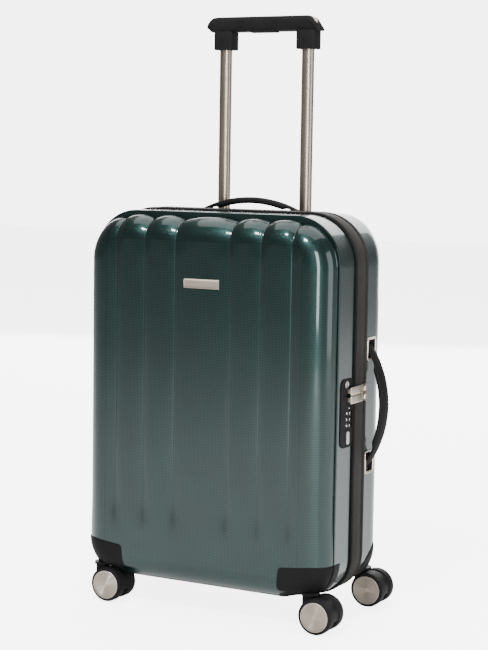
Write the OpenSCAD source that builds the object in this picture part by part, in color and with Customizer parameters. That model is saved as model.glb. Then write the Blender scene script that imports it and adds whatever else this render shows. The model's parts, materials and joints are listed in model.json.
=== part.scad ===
/* [Shells] */
// Width across the two shells
shell_w = 377; // [373:1:381]
// Height of the shells, without the wheels
shell_h = 510.5; // [506:0.5:514]
// Gap between the floor and the shells
ground_gap = 36; // [34:0.5:38]
// Depth of the front shell, from its face to the band
front_d = 81; // [79:0.5:83]
// Depth of the rear shell, from the band to its back
rear_d = 77; // [76:0.5:80]
// Wall thickness of the shells
wall = 2.5; // [2:0.1:3]
// Corner radius of the shells at the top, seen from the front
top_r = 66; // [62:1:70]
// Corner radius of the shells at the bottom
bottom_r = 52; // [49:1:55]
// Radius of the edges round the front and back faces
edge_r = 32; // [30:1:34]
// Depth of the valleys between the flutes
flute_depth = 5; // [4:0.5:6]

/* [Band and zip] */
// Width of the rubber band in front of the zip
band_front = 29.5; // [28:0.5:31]
// Width of the rubber band behind the zip
band_rear = 7.4; // [7:0.2:8]
// How far the band stands proud of the shells
band_proud = 3; // [2.5:0.1:3.5]
// Width of each half of the zip
zip_w = 2; // [1.6:0.1:2.4]

/* [Casters] */
// Diameter of the wheels
wheel_d = 48; // [46:1:48]
// Width of each wheel
wheel_w = 15; // [14:0.5:16]
// Gap between the two wheels of a caster
wheel_gap = 13; // [12:0.5:14]
// Distance from the swivel axis to the wheel axle
trail = 16; // [14:0.5:17]
// Distance of the swivel axes from the middle of the case
caster_x = 162; // [160:0.5:164]

/* [Trolley] */
// Distance of each tube from the middle of the case
tube_x = 65; // [62:1:68]
// Diameter of the inner tubes
inner_d = 17.4; // [16.4:0.2:17.4]
// Travel of the inner tubes and the grip
inner_travel = 262; // [240:1:262]
// Travel of the middle tubes
middle_travel = 210; // [180:1:220]

/* [Handles] */
// How far the side grip stands out from the shell
side_rise = 25; // [23:0.5:26]
// How far the top grip stands up from the shell
top_rise = 19; // [17:0.5:20]

/* [Hidden] */
$fn = 96;

// The zip line is the plane y = 0, the case is centred on x = 0 and the floor is z = 0.
joint_gap = 0.15;                        // half the gap between the two halves of the case
half_w = shell_w / 2;
shell_top = ground_gap + shell_h;
front_y = -band_front - front_d;         // front face, at the crests of the flutes
rear_y = band_rear + rear_d;             // back face
edge_gap = 0.7;                          // extra wall round the open edges of the shells

// Front shell: a fluted panel behind a step, then a smooth land next to the band
step_y = front_y + 33;
top_drop = 5;
side_drop = 1;
flute_edges = [0.2196 * half_w, 0.4727 * half_w, 0.7125 * half_w];
valley_flat = 0.4;                       // height of the flat floor of each valley
corner_r = 36;
rear_corner_r = 49;

// Casters: [name, side of x, y of the swivel axis]
front_caster_y = front_y + 18.5;
rear_caster_y = rear_y - 11.5;
FRONT_CASTERS = [["fl", -1, front_caster_y], ["fr", 1, front_caster_y]];
REAR_CASTERS = [["rl", -1, rear_caster_y], ["rr", 1, rear_caster_y]];
wheel_r = wheel_d / 2;
roof_z = wheel_d + 4;                    // underside of the housings above the wheels
pair_half = wheel_gap / 2 + wheel_w;     // half the width of a pair of wheels
hub_proud = 0.6;
hub_r = wheel_r - 4.2;
axle_end = pair_half - 1.8;              // half the length of an axle
axle_r = 2.5;
stem_r = 5;
stem_top = 78.5;
run_gap = 0.05;                          // radial clearance of shafts that turn or slide
fork_w = wheel_gap - 1;

// Wheel housings
guard_proud = 0.8;
guard_low = 50;
guard_front_y = front_y + 51;
bowl_t = 3;
boss_r = 14;
boss_top = 78;
ear_t = 3;
rivet_r = 2;
front_ear = [-62, ground_gap + wall + edge_gap];
rear_ear = [38, ground_gap + wall];

// Badge on the middle flute
badge_size = [54, 12.4];
badge_z = 452.4;
badge_t = 1.3;
badge_proud = 1.2;

// Lock, on the right side of the front shell
lock_z = [241, 333];
lock_y = [-68.5, -band_front];
lock_out = half_w + 1.2;
lock_deep = 19;
dial_r = 9;
dial_h = 6.4;
dial_pitch = 8.1;
dial_z = 277.7;
dial_x = half_w - 6.9;
dial_y = -43;
key_z = 325;
key_y = -50.5;
key_r = 4;
dial_pin_r = 1.5;
button_proud = 0.8;
button_z = [245, 262];
button_y = [-51, -42];

// Zip sliders and pullers, on the right side
slider_z = [304.5, 315.9];
slider_x = half_w + band_proud;
puller_pin_x = slider_x + 3.2;
puller_pin_y = -6;
puller_tip_y = -50;
puller_w = 10.6;

// Side handle, on the right side of the rear shell
side_y = 26.5;
side_mid_z = 288;
side_reach = 76;
side_strap_w = 21;
strap_t = 5;
anchor_v = [-18, -14.5];
bezel_shift = 1.9;                       // from a grip's end to the middle of its bezel

// Top handle
grip_y = 28.5;
top_reach = 74;
top_strap_w = 13;

// Trolley
tube_y = rear_y - 17.5;
middle_r = inner_d / 2 + run_gap + 1.2;
outer_r = middle_r + run_gap + 1.5;
foot_z = 92;
pocket_z = 507;
pocket_x = 90;
pocket_y = [42.5, rear_y - 4.8];
pocket_wall = 3;
middle_len = middle_travel + 120;
inner_engaged = 75;
ferrule_z = pocket_z + 2 + inner_travel;
grip_under_z = ferrule_z + 26;
grip_half = 84;
grip_lean = 11;
grip_button_proud = 3;
grip_button_travel = 3;
foot_screw_y = rear_y - 10;
screw_head = [4, 1.4];                   // radius and height, set flush in the back

// Inside: each cover is [low corner, high corner, walls on its low sides, walls on its high sides],
// where a wall of 1 closes that side and -5 leaves it open towards the shell
strap_z = [170, 410];
lining_t = 1.5;
rear_margin = -9;
front_margin = -12;
bowl_reach = 53;
function both_sides(c) = [c, [
    [-c[1][0], c[0][1], c[0][2]],
    [-c[0][0], c[1][1], c[1][2]],
    [c[3][0], c[2][1], c[2][2]],
    [c[2][0], c[3][1], c[3][2]]
]];
function side_cover(s) = [
    [half_w - 22, side_y - 14, side_mid_z + s * 82 - 14],
    [half_w, side_y + 14, side_mid_z + s * 82 + 14],
    [1, 1, 1],
    [-5, 1, 1]
];
rear_covers = concat(
    both_sides([
        [caster_x - bowl_reach, rear_caster_y - bowl_reach, ground_gap - 5],
        [half_w, rear_y, roof_z + 8],
        [1, 1, -5],
        [-5, -5, 1]
    ]),
    [side_cover(-1), side_cover(1)],
    both_sides([
        [71, grip_y - 10.5, shell_top - 22],
        [93, grip_y + 10.5, shell_top],
        [1, 1, 1],
        [1, 1, -5]
    ]),
    [[
        [-pocket_x - 7, pocket_y[0] - 6, pocket_z - 14],
        [pocket_x + 7, rear_y, shell_top],
        [1, 1, 1],
        [1, -5, -5]
    ]]
);
front_covers = concat(
    both_sides([
        [caster_x - bowl_reach, front_y, ground_gap - 5],
        [half_w, front_caster_y + bowl_reach, roof_z + 8],
        [1, -5, -5],
        [-5, 1, 1]
    ]),
    both_sides([
        [caster_x - boss_r - 4, front_y, ground_gap],
        [half_w, front_caster_y + boss_r + 4, boss_top + 8],
        [1, -5, -5],
        [-5, 1, 1]
    ]),
    [[
        [lock_out - lock_deep - 3, lock_y[0] - 3, lock_z[0] - 3],
        [half_w, lock_y[1] + 2, lock_z[1] + 3],
        [1, 1, 1],
        [-5, -5, 1]
    ]]
);

// The whole case is moved so that the origin is under the middle of its box.
box_x = [-(half_w + band_proud), half_w + side_rise];
box_y = [front_caster_y - pair_half - hub_proud, rear_caster_y + pair_half + hub_proud];
origin = [(box_x[0] + box_x[1]) / 2, (box_y[0] + box_y[1]) / 2, 0];

teal = [0.2, 0.33, 0.31];
black = [0.1, 0.1, 0.1];
silver = [0.72, 0.68, 0.62];
steel = [0.6, 0.6, 0.62];
rubber = [0.27, 0.25, 0.24];
cloth = [0.25, 0.25, 0.26];

// ---------------------------------------------------------------- outlines

// The case seen from the front, grown by a margin, with its top lowered by drop
module case_outline(grow, drop = 0) {
    half = half_w + grow;
    low = ground_gap - grow;
    high = shell_top + grow - drop;
    low_r = bottom_r + grow;
    high_r = top_r + grow;
    translate([-half, low + low_r]) square([2 * half, high - high_r - low - low_r]);
    translate([low_r - half, low]) square([2 * (half - low_r), low_r + 1]);
    translate([high_r - half, high - high_r - 1]) square([2 * (half - high_r), high_r + 1]);
    for (s = [-1, 1]) {
        translate([s * (half - low_r), low + low_r]) circle(low_r);
        translate([s * (half - high_r), high - high_r]) circle(high_r);
    }
}

// Turns a flat drawing (x, z) into a solid from y = y0 to y1
module along_y(y0, y1) {
    translate([0, y1, 0]) rotate([90, 0, 0]) linear_extrude(y1 - y0) children();
}

// Turns a flat drawing (y, z) into a solid from x = x0 to x1
module along_x(x0, x1) {
    translate([x0, 0, 0]) rotate([90, 0, 90]) linear_extrude(x1 - x0) children();
}

// A solid of the case's outline from y0 to y1
module slab(grow, y0, y1, drop = 0) {
    along_y(y0, y1) case_outline(grow, drop);
}

// A rim of the case's outline between two margins
module ring(outer, inner, y0, y1) {
    difference() {
        slab(outer, y0, y1);
        slab(inner, y0 - 1, y1 + 1);
    }
}

// A box between two opposite corners
module block(low, high) {
    translate(low) cube(high - low);
}

// A rectangle with round corners, centred
module round_rect(w, h, r) {
    square([w - 2 * r, h], center = true);
    square([w, h - 2 * r], center = true);
    for (x = [-1, 1], y = [-1, 1]) translate([x * (w / 2 - r), y * (h / 2 - r)]) circle(r);
}

// A rod along y between two places
module rod_y(y0, y1, r) {
    translate([0, y0, 0]) rotate([-90, 0, 0]) cylinder(r = r, h = y1 - y0);
}

// ---------------------------------------------------------------- shells

// Radius of a flute of a given width and height
function flute_r(width, height) = (width * width / 4 + height * height) / (2 * height);

// One flute seen from above, standing forward of the line y = height
module flute(x0, x1, height, inset) {
    r = flute_r(x1 - x0, height);
    intersection() {
        translate([(x0 + x1) / 2, r]) circle(r - inset, $fn = 180);
        translate([x0, -2]) square([x1 - x0, height + 8]);
    }
}

// A face seen from above: a middle set back from y = 0 and two round corners
module face_plan(half, corner, set_back, inset, back) {
    last = flute_edges[len(flute_edges) - 1];
    flat_y = set_back + inset;
    translate([corner - half, flat_y]) square([2 * (half - corner), back - flat_y]);
    translate([inset - half, corner]) square([2 * (half - inset), back - corner]);
    for (s = [-1, 1]) intersection() {
        translate([s * (half - corner), corner]) circle(corner - inset);
        if (set_back > 0) translate([s > 0 ? last : -half - 2, -2]) square([half - last + 2, corner + 3]);
        else square([2 * half, 2 * half], center = true);
    }
}

// The fluted face of the front shell seen from above, with its crests on y = 0
module fluted_plan(half, inset, back) {
    face_plan(half, corner_r, flute_depth - valley_flat, inset, back);
    flute(-flute_edges[0], flute_edges[0], flute_depth, inset);
    for (s = [0, 1], i = [1:len(flute_edges) - 1])
        mirror([s, 0]) flute(flute_edges[i - 1], flute_edges[i], flute_depth, inset);
}

// Side view of a shell: square at its open edge, rounded at the top and bottom of its face
module face_section(low, high, depth, inset) {
    r = edge_r - inset;
    translate([inset + r, low]) square([depth - inset - r, high - low]);
    translate([inset, low + r]) square([depth - inset, high - low - 2 * r]);
    for (z = [low + r, high - r]) translate([inset + r, z]) circle(r);
}

// The space inside a shell whose face is at y = 0 and whose open edge is at y = depth,
// with its plan given as a child
module shell_form(inset, depth, side, drop) {
    intersection() {
        slab(-side - inset, -3, depth, drop);
        translate([0, 0, ground_gap - 10]) linear_extrude(shell_h + 20) children();
        along_x(-half_w - 5, half_w + 5)
            face_section(ground_gap + side + inset, shell_top - side - drop - inset, depth + 1, inset);
    }
}

module front_form(inset, back) {
    translate([0, front_y, 0]) shell_form(inset, back - front_y, side_drop, top_drop)
        fluted_plan(half_w - side_drop, inset, back - front_y + 1);
}

module rear_form(inset, front) {
    translate([0, rear_y, 0]) mirror([0, 1, 0]) shell_form(inset, rear_y - front, 0, 0)
        face_plan(half_w, rear_corner_r, 0, inset, rear_y - front + 1);
}

// The front shell without its hollow, grown by a margin
module front_envelope(grow) {
    front_form(-grow, step_y + 1);
    slab(grow, step_y - grow, -band_front);
}

module front_hollow() {
    front_form(wall, step_y + wall + 1);
    slab(-wall - edge_gap, step_y + wall, 1);
}

module front_shell() {
    color(teal) difference() {
        front_envelope(0);
        front_hollow();
        lock_space(0);
        badge_space(-badge_t, badge_proud);
        for (c = FRONT_CASTERS) {
            front_guard_zone(c[1]);
            at_caster(c) swing_space(bowl_t);
            rivet_places(c, front_ear) cylinder(r = rivet_r, h = 60);
        }
    }
}

module rear_shell() {
    color(teal) difference() {
        rear_form(0, band_rear);
        rear_form(wall, band_rear - 3);
        housing_space(30);
        handle_holes();
        for (c = REAR_CASTERS) {
            rear_guard_zone(c[1]);
            at_caster(c) swing_space(bowl_t);
            rivet_places(c, rear_ear) cylinder(r = rivet_r, h = 60);
        }
        foot_screw_places() rod_y(0, 30, rivet_r);
        foot_screw_places() rod_y(rear_y - foot_screw_y - screw_head[1], 30, screw_head[0]);
    }
}

module front_rim() {
    color(rubber) ring(band_proud, -2, -band_front, -zip_w - joint_gap);
}

module rear_rim() {
    color(rubber) ring(band_proud, -2, zip_w + joint_gap, band_rear);
}

module zipper_front_half() {
    color(black) ring(band_proud - 0.8, -1.5, -zip_w - joint_gap, -joint_gap);
}

module zipper_rear_half() {
    color(black) ring(band_proud - 0.8, -1.5, joint_gap, zip_w + joint_gap);
}

// Fabric strip inside the left edge, where the two halves are sewn together
module hinge_spine() {
    color(cloth) block([0.3 - half_w + 2, -12, 120], [1.5 - half_w + 2, band_rear, 460]);
}

// ---------------------------------------------------------------- wheel housings

module at_caster(c) {
    translate([c[1] * caster_x, c[2], 0]) children();
}

// How far the wheels reach from the swivel axis at height z
function reach(z) = norm([trail + sqrt(wheel_r * wheel_r - (z - wheel_r) * (z - wheel_r)), pair_half]);

// Space that a pair of wheels sweeps as its caster turns, grown by a margin
module swing_space(margin) {
    steps = 6;
    rise = wheel_r / steps;
    rotate_extrude() polygon(concat(
        [[0, 0], [reach(wheel_r) + 2 + margin, 0]],
        [for (i = [0:steps]) [reach(wheel_r + i * rise) + 2 + margin, wheel_r + i * rise + margin * i / steps]],
        [[reach(wheel_d) + 1 + margin, roof_z + margin], [0, roof_z + margin]]));
}

// Windows for the corner guards
module front_guard_zone(side) {
    mirror([side < 0 ? 1 : 0, 0, 0]) along_y(front_y - 5, guard_front_y)
        polygon([[119, guard_low], [123, 83.5], [168, 88], [half_w + 5, 84.5], [half_w + 5, guard_low]]);
}

module rear_guard_zone(side) {
    mirror([side < 0 ? 1 : 0, 0, 0]) along_x(104, half_w + 5)
        polygon([[22, guard_low], [22, 66], [30, 78], [49, 92.5], [rear_y + 5, 92.5], [rear_y + 5, guard_low]]);
}

module rivet_places(c, ear) {
    for (dy = [-8, 8]) translate([c[1] * 101, ear[0] + dy, 0]) children();
}

// Ear that a housing is riveted to the shell by
module ear_block(c, ear) {
    mirror([c[1] < 0 ? 1 : 0, 0, 0]) block([92, ear[0] - 13, ear[1]], [126, ear[0] + 13, ear[1] + ear_t]);
}

module housing_holes(c, ear) {
    at_caster(c) swing_space(0);
    at_caster(c) cylinder(r = stem_r + run_gap, h = boss_top + 1);
    rivet_places(c, ear) cylinder(r = rivet_r, h = 60);
}

module bowl_and_boss(c) {
    at_caster(c) swing_space(bowl_t);
    at_caster(c) cylinder(r = boss_r, h = boss_top);
}

module front_wheel_housing(c) {
    color(black) difference() {
        union() {
            intersection() {
                front_guard_zone(c[1]);
                difference() {
                    front_envelope(guard_proud);
                    front_hollow();
                }
            }
            intersection() {
                front_envelope(0);
                bowl_and_boss(c);
            }
            ear_block(c, front_ear);
        }
        housing_holes(c, front_ear);
    }
}

module rear_wheel_housing(c) {
    color(black) difference() {
        union() {
            intersection() {
                rear_guard_zone(c[1]);
                difference() {
                    rear_form(-guard_proud, band_rear);
                    rear_form(wall, band_rear - 3);
                }
            }
            intersection() {
                rear_form(0, band_rear);
                bowl_and_boss(c);
            }
            ear_block(c, rear_ear);
        }
        housing_holes(c, rear_ear);
    }
}

module rivets(c, ear) {
    rivet_places(c, ear) {
        translate([0, 0, ground_gap - 1.2]) cylinder(r = 3.6, h = 1.2);
        translate([0, 0, ground_gap]) cylinder(r = rivet_r, h = ear[1] + ear_t - ground_gap);
        translate([0, 0, ear[1] + ear_t]) cylinder(r = 3.6, h = 1.6);
    }
}

module front_fasteners() {
    color(steel) for (c = FRONT_CASTERS) rivets(c, front_ear);
}

module rear_fasteners() {
    color(steel) {
        for (c = REAR_CASTERS) rivets(c, rear_ear);
        foot_screw_places() {
            rod_y(-8, rear_y - foot_screw_y - screw_head[1], rivet_r);
            rod_y(rear_y - foot_screw_y - screw_head[1], rear_y - foot_screw_y, screw_head[0]);
        }
    }
}

// ---------------------------------------------------------------- casters

// Fork: crown, post and a fender between the wheels, with the stem above and the steel axle
module caster_fork(c) {
    color(black) at_caster(c) {
        difference() {
            union() {
                translate([0, 0, wheel_d + 0.6]) cylinder(r = 13, h = roof_z - wheel_d - 0.9);
                along_y(-fork_w / 2, fork_w / 2) fork_outline();
            }
            translate([trail, 0, wheel_r]) rod_y(-fork_w, fork_w, axle_r);
        }
        translate([0, 0, roof_z - 0.3]) cylinder(r = stem_r, h = stem_top - roof_z + 0.3);
    }
    color(steel) at_caster(c) translate([trail, 0, wheel_r]) {
        rod_y(-axle_end, axle_end, axle_r);
        for (s = [0, 1]) mirror([0, s, 0]) rod_y(axle_end - 1.4, axle_end, axle_r + 2);
    }
}

module fork_outline() {
    outer = wheel_r - 1.5;
    translate([-9, wheel_r - 6]) square([14, wheel_r + 7]);
    translate([trail, wheel_r]) {
        circle(8);
        translate([-trail, -4]) square([trail, 8]);
        difference() {
            circle(outer);
            circle(outer - 5);
            translate([-outer - 1, -outer - 1]) square([2 * outer + 2, outer - 6]);
        }
    }
}

// A wheel lying with its outer face up
module wheel() {
    color(black) rotate_extrude() difference() {
        union() {
            translate([axle_r + run_gap, 0]) square([wheel_r - 3 - axle_r - run_gap, wheel_w]);
            translate([axle_r + run_gap, 3]) square([wheel_r - axle_r - run_gap, wheel_w - 6]);
            for (z = [3, wheel_w - 3]) translate([wheel_r - 3, z]) circle(3);
        }
        translate([0, wheel_w - 1.6]) square([hub_r + 0.1, 3]);
        translate([0, wheel_w - 3.6]) square([axle_r + 3, 4]);
    }
}

module hubcap() {
    color(silver) rotate_extrude() polygon([[0, 0], [hub_r, 0], [hub_r, 1.6], [hub_r - 0.8, 1.6 + hub_proud],
        [hub_r - 1.8, 1.6 + hub_proud], [hub_r - 2.4, 1.7], [0, 1.6 + hub_proud]]);
}

// Stands a wheel or a hubcap on its axle: side -1 is the front of the pair and 1 the rear
module on_axle(c, side) {
    at_caster(c) translate([trail, side * wheel_gap / 2, wheel_r]) rotate([side * -90, 0, 0]) children();
}

// ---------------------------------------------------------------- badge and lock

module badge_space(low, high) {
    r = flute_r(2 * flute_edges[0], flute_depth);
    intersection() {
        translate([0, front_y + r, badge_z - badge_size[1] / 2]) difference() {
            cylinder(r = r + high, h = badge_size[1], $fn = 180);
            translate([0, 0, -1]) cylinder(r = r + low, h = badge_size[1] + 2, $fn = 180);
        }
        block([-badge_size[0] / 2, front_y - 10, 0], [badge_size[0] / 2, front_y + 10, shell_top]);
    }
}

module badge_plate() {
    color(silver) badge_space(-badge_t, badge_proud);
}

// The outline of the lock, grown by a margin, as a solid from inside the case to beyond its side
module lock_space(grow) {
    mid = [(lock_y[0] + lock_y[1]) / 2, (lock_z[0] + lock_z[1]) / 2];
    size = [lock_y[1] - lock_y[0], lock_z[1] - lock_z[0]];
    along_x(lock_out - lock_deep, lock_out)
        translate(mid) round_rect(size[0] + 2 * grow, size[1] + 2 * grow, 11 + grow);
}

module button_block(gap, deep) {
    mid = [(button_y[0] + button_y[1]) / 2, (button_z[0] + button_z[1]) / 2];
    size = [button_y[1] - button_y[0], button_z[1] - button_z[0]];
    along_x(lock_out - deep, lock_out + button_proud)
        translate(mid) round_rect(size[0] + 2 * gap, size[1] + 2 * gap, 3);
}

module key_rod(r, deep, proud) {
    translate([lock_out - deep, key_y, key_z]) rotate([0, 90, 0]) cylinder(r = r, h = deep + proud);
}

module lock_housing() {
    color(black) difference() {
        lock_space(0);
        for (i = [-1, 0, 1]) block([0, dial_y - dial_r - 0.7, dial_z + i * dial_pitch - dial_h / 2 - 0.3],
                                   [lock_out + 2, dial_y + dial_r + 0.7, dial_z + i * dial_pitch + dial_h / 2 + 0.3]);
        translate([dial_x, dial_y, dial_z]) cylinder(r = dial_pin_r, h = 30, center = true);
        button_block(0.25, lock_deep - 3);
        key_rod(key_r + run_gap, lock_deep + 1, 1);
        block([lock_out - 4.5, puller_tip_y - 1, slider_z[0] - 4.5], [lock_out + 2, puller_tip_y + 5, slider_z[1] + 4.5]);
    }
    color(steel) translate([dial_x, dial_y, dial_z]) cylinder(r = dial_pin_r, h = 30, center = true);
}

// A number wheel with a notch between each two of its ten numbers
module dial(i) {
    color(black) translate([dial_x, dial_y, dial_z + i * dial_pitch]) difference() {
        cylinder(r = dial_r, h = dial_h, center = true);
        cylinder(r = dial_pin_r + run_gap, h = dial_h + 1, center = true);
        for (a = [0:9]) rotate(36 * a + 18) translate([dial_r + 0.2, 0, 0]) cylinder(r = 0.8, h = dial_h + 1, center = true);
    }
}

module key_cylinder() {
    color(silver) difference() {
        key_rod(key_r, lock_deep - 1, 0.4);
        block([lock_out - 6, key_y - 0.6, key_z - 2.6], [lock_out + 1, key_y + 0.6, key_z + 2.6]);
    }
}

module lock_button() {
    color(steel) button_block(0, 7);
}

// ---------------------------------------------------------------- zip sliders and pullers

// Two sliders, each with a pin between two lugs
module zip_sliders() {
    color(silver) for (z = slider_z) translate([slider_x + joint_gap, puller_pin_y, z]) {
        block([0, -5, -5.2], [1, 13, 5.2]);
        for (s = [-1, 1]) translate([0, -2.4, s * 4.2 - 1]) cube([5.3, 4.8, 2]);
        translate([puller_pin_x - slider_x - joint_gap, 0, 0]) cylinder(r = 0.9, h = 6.4, center = true);
    }
}

// A flat puller with a knuckle round its pin and a hook that drops into the lock
module zip_puller(z) {
    wide_y = puller_pin_y - 6;
    color(silver) translate([0, 0, z]) difference() {
        union() {
            translate([puller_pin_x, puller_pin_y, 0]) cylinder(r = 2, h = 6, center = true);
            block([puller_pin_x - 1, wide_y - 1, -3], [puller_pin_x + 1, puller_pin_y, 3]);
            along_x(puller_pin_x - 1, puller_pin_x + 1)
                translate([(puller_tip_y + wide_y) / 2, 0]) round_rect(wide_y - puller_tip_y, puller_w, 2.5);
            block([puller_pin_x - 7, puller_tip_y + 0.5, -3], [puller_pin_x, puller_tip_y + 3.5, 3]);
        }
        translate([puller_pin_x, puller_pin_y, 0]) cylinder(r = 0.9 + run_gap, h = 8, center = true);
    }
}

// ---------------------------------------------------------------- carry handles

// Radius of a grip's arch, and how far its legs are from its middle below the shell's surface
function arch_r(reach, rise) = (reach * reach + pow(rise - strap_t / 2, 2)) / (2 * rise - strap_t);
function leg_u(reach, rise) = sqrt(pow(arch_r(reach, rise), 2) - pow(arch_r(reach, rise) - rise + strap_t / 2 - 4, 2));

// A grip seen from the side: u along the shell and v out from its surface
module grip_outline(reach, rise) {
    r = arch_r(reach, rise);
    leg = leg_u(reach, rise);
    intersection() {
        translate([0, rise - strap_t / 2 - r]) difference() {
            circle(r + strap_t / 2, $fn = 180);
            circle(r - strap_t / 2, $fn = 180);
        }
        translate([-reach - 30, -4]) square([2 * reach + 60, rise + 8]);
    }
    for (s = [-1, 1]) translate([s * leg, 0]) {
        translate([-2.6, anchor_v[0]]) square([5.2, -anchor_v[0] - 2]);
        translate([-7, anchor_v[0]]) square([14, anchor_v[1] - anchor_v[0]]);
    }
}

// Places a handle drawn in (u, v): the side handle along z, the top handle along x
module side_place() {
    translate([half_w, side_y, side_mid_z]) rotate([90, -90, 0]) mirror([0, 1, 0]) children();
}

module top_place() {
    translate([0, grip_y, shell_top]) rotate([90, 0, 0]) children();
}

module handle_grip(reach, rise, width) {
    linear_extrude(width, center = true) grip_outline(reach, rise);
}

module side_handle_grip() {
    color(black) side_place() handle_grip(side_reach, side_rise, side_strap_w);
}

module top_handle_grip() {
    color(black) top_place() handle_grip(top_reach, top_rise, top_strap_w);
}

// The two ends of a handle, at a distance u from its middle
module ends(u) {
    for (s = [-1, 1]) translate([s * u, 0, 0]) children();
}

// Hole in the shell for a bezel's sleeve
module bezel_hole(reach, width) {
    ends(reach + bezel_shift) translate([-13.5, -8, -width / 2 - 2]) cube([27, 12, width + 4]);
}

// A frame round each end of a grip, with a sleeve through the shell
module bezels(reach, width) {
    ends(reach + bezel_shift) difference() {
        union() {
            translate([0, 0.8, 0]) rotate([90, 0, 0]) linear_extrude(1.6, center = true) round_rect(32, width + 7, 4);
            translate([-13.5, -5, -width / 2 - 2]) cube([27, 5.8, width + 4]);
        }
        translate([-12.3, -6, -width / 2 - 0.8]) cube([24.6, 9, width + 1.6]);
    }
}

// Plates inside the shell that stop the anchors of a grip
module backing(reach, rise, width) {
    leg = leg_u(reach, rise);
    ends(leg) difference() {
        translate([-15, -8, -width / 2 - 4]) cube([30, 2.4, width + 8]);
        translate([-3.4, -9, -width / 2 - 0.8]) cube([6.8, 5, width + 1.6]);
    }
}

module side_handle_bezels() {
    color(silver) side_place() bezels(side_reach, side_strap_w);
}

module top_handle_bezels() {
    color(silver) top_place() bezels(top_reach, top_strap_w);
}

module handle_backing_plates() {
    color(steel) {
        side_place() backing(side_reach, side_rise, side_strap_w);
        top_place() backing(top_reach, top_rise, top_strap_w);
    }
}

module handle_holes() {
    side_place() bezel_hole(side_reach, side_strap_w);
    top_place() bezel_hole(top_reach, top_strap_w);
}

// ---------------------------------------------------------------- trolley

module tube_places() {
    for (s = [-1, 1]) translate([s * tube_x, tube_y, 0]) children();
}

module tube(outer, inner, z0, z1) {
    tube_places() translate([0, 0, z0]) difference() {
        cylinder(r = outer, h = z1 - z0);
        translate([0, 0, -1]) cylinder(r = inner, h = z1 - z0 + 2);
    }
}

// The corner of the rear shell that the trolley's housing fills
module housing_space(beyond) {
    block([-pocket_x - pocket_wall, pocket_y[0] - pocket_wall, pocket_z - 10],
          [pocket_x + pocket_wall, rear_y + beyond, shell_top + beyond]);
}

module trolley_top_housing() {
    color(black) difference() {
        intersection() {
            rear_form(0, band_rear);
            housing_space(1);
        }
        block([-pocket_x, pocket_y[0], pocket_z], [pocket_x, pocket_y[1], shell_top + 1]);
        tube_places() translate([0, 0, pocket_z - 11]) cylinder(r = outer_r, h = 12);
    }
}

module trolley_outer_tubes() {
    color(steel) tube(outer_r, middle_r + run_gap, foot_z - 8, pocket_z);
}

module trolley_middle_tubes() {
    color(silver) {
        tube(middle_r, inner_d / 2 + run_gap, pocket_z + 0.2 - middle_len, pocket_z + 1.7);
        tube(outer_r, middle_r, pocket_z + 0.2, pocket_z + 1.7);
    }
}

module trolley_inner_tubes() {
    color(silver) tube(inner_d / 2, inner_d / 2 - 1.2, pocket_z - inner_engaged, grip_under_z - 2);
}

module foot_screw_places() {
    for (s = [-1, 1]) translate([s * 35, foot_screw_y, foot_z - 7]) children();
}

// Block that holds the lower ends of the outer tubes
module trolley_foot() {
    color(black) difference() {
        block([-tube_x - 17, tube_y - outer_r - 1.4, foot_z - 14], [tube_x + 17, rear_y - wall, foot_z]);
        tube_places() translate([0, 0, foot_z - 8]) cylinder(r = outer_r, h = 9);
        foot_screw_places() rod_y(-8, 30, rivet_r);
    }
}

// Side view of the grip's bar, which leans towards the front
module bar_section(inset) {
    polygon([[-13, -1], [12, -1], [12, 4], [12 - grip_lean, 19 - inset], [-9 - grip_lean, 19 - inset],
             [-12 - grip_lean, 15 - inset], [-12 - grip_lean, 12 - inset]]);
}

module grip_front(inset) {
    square([2 * grip_half - 28, 80], center = true);
    translate([inset - grip_half, -40]) square([2 * (grip_half - inset), 40 + 5]);
    for (s = [-1, 1]) translate([s * (grip_half - 14), 5]) circle(14 - inset);
}

// The bar of the grip: its side view, rounded at the outer top corners
module grip_bar() {
    intersection() {
        translate([0, tube_y, grip_under_z]) along_x(-grip_half, grip_half) bar_section(0);
        translate([0, 0, grip_under_z]) along_y(tube_y - 40, tube_y + 40) grip_front(0);
    }
}

// The band along the top and round the corners of the grip that the trim fills
module trim_space() {
    translate([0, 0, grip_under_z]) along_y(tube_y - 4 - grip_lean, tube_y + 3 - grip_lean) difference() {
        translate([-grip_half - 1, 2]) square([2 * grip_half + 2, 30]);
        translate([0, -1.6]) grip_front(1.6);
        translate([1.6 - grip_half, 0]) square([2 * grip_half - 3.2, 6]);
        translate([14 - grip_half, 0]) square([2 * grip_half - 28, 19 - 1.6]);
    }
}

module trolley_grip() {
    color(black) difference() {
        union() {
            grip_bar();
            for (s = [-1, 1]) translate([s * tube_x, tube_y, ferrule_z])
                linear_extrude(grip_under_z - ferrule_z) round_rect(30, 24, 5);
        }
        trim_space();
        tube_places() translate([0, 0, ferrule_z - 1]) cylinder(r = inner_d / 2, h = grip_under_z - ferrule_z - 1);
        grip_button(0.25, grip_button_travel + 0.6);
    }
}

module trolley_grip_trim() {
    color(silver) intersection() {
        grip_bar();
        trim_space();
    }
}

module grip_button(gap, above) {
    translate([0, tube_y - 6, grip_under_z - grip_button_proud])
        linear_extrude(grip_button_proud + 5 + above) round_rect(40 + 2 * gap, 12 + 2 * gap, 3);
}

module trolley_release_button() {
    color(steel) grip_button(0, 0);
}

// ---------------------------------------------------------------- inside

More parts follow.
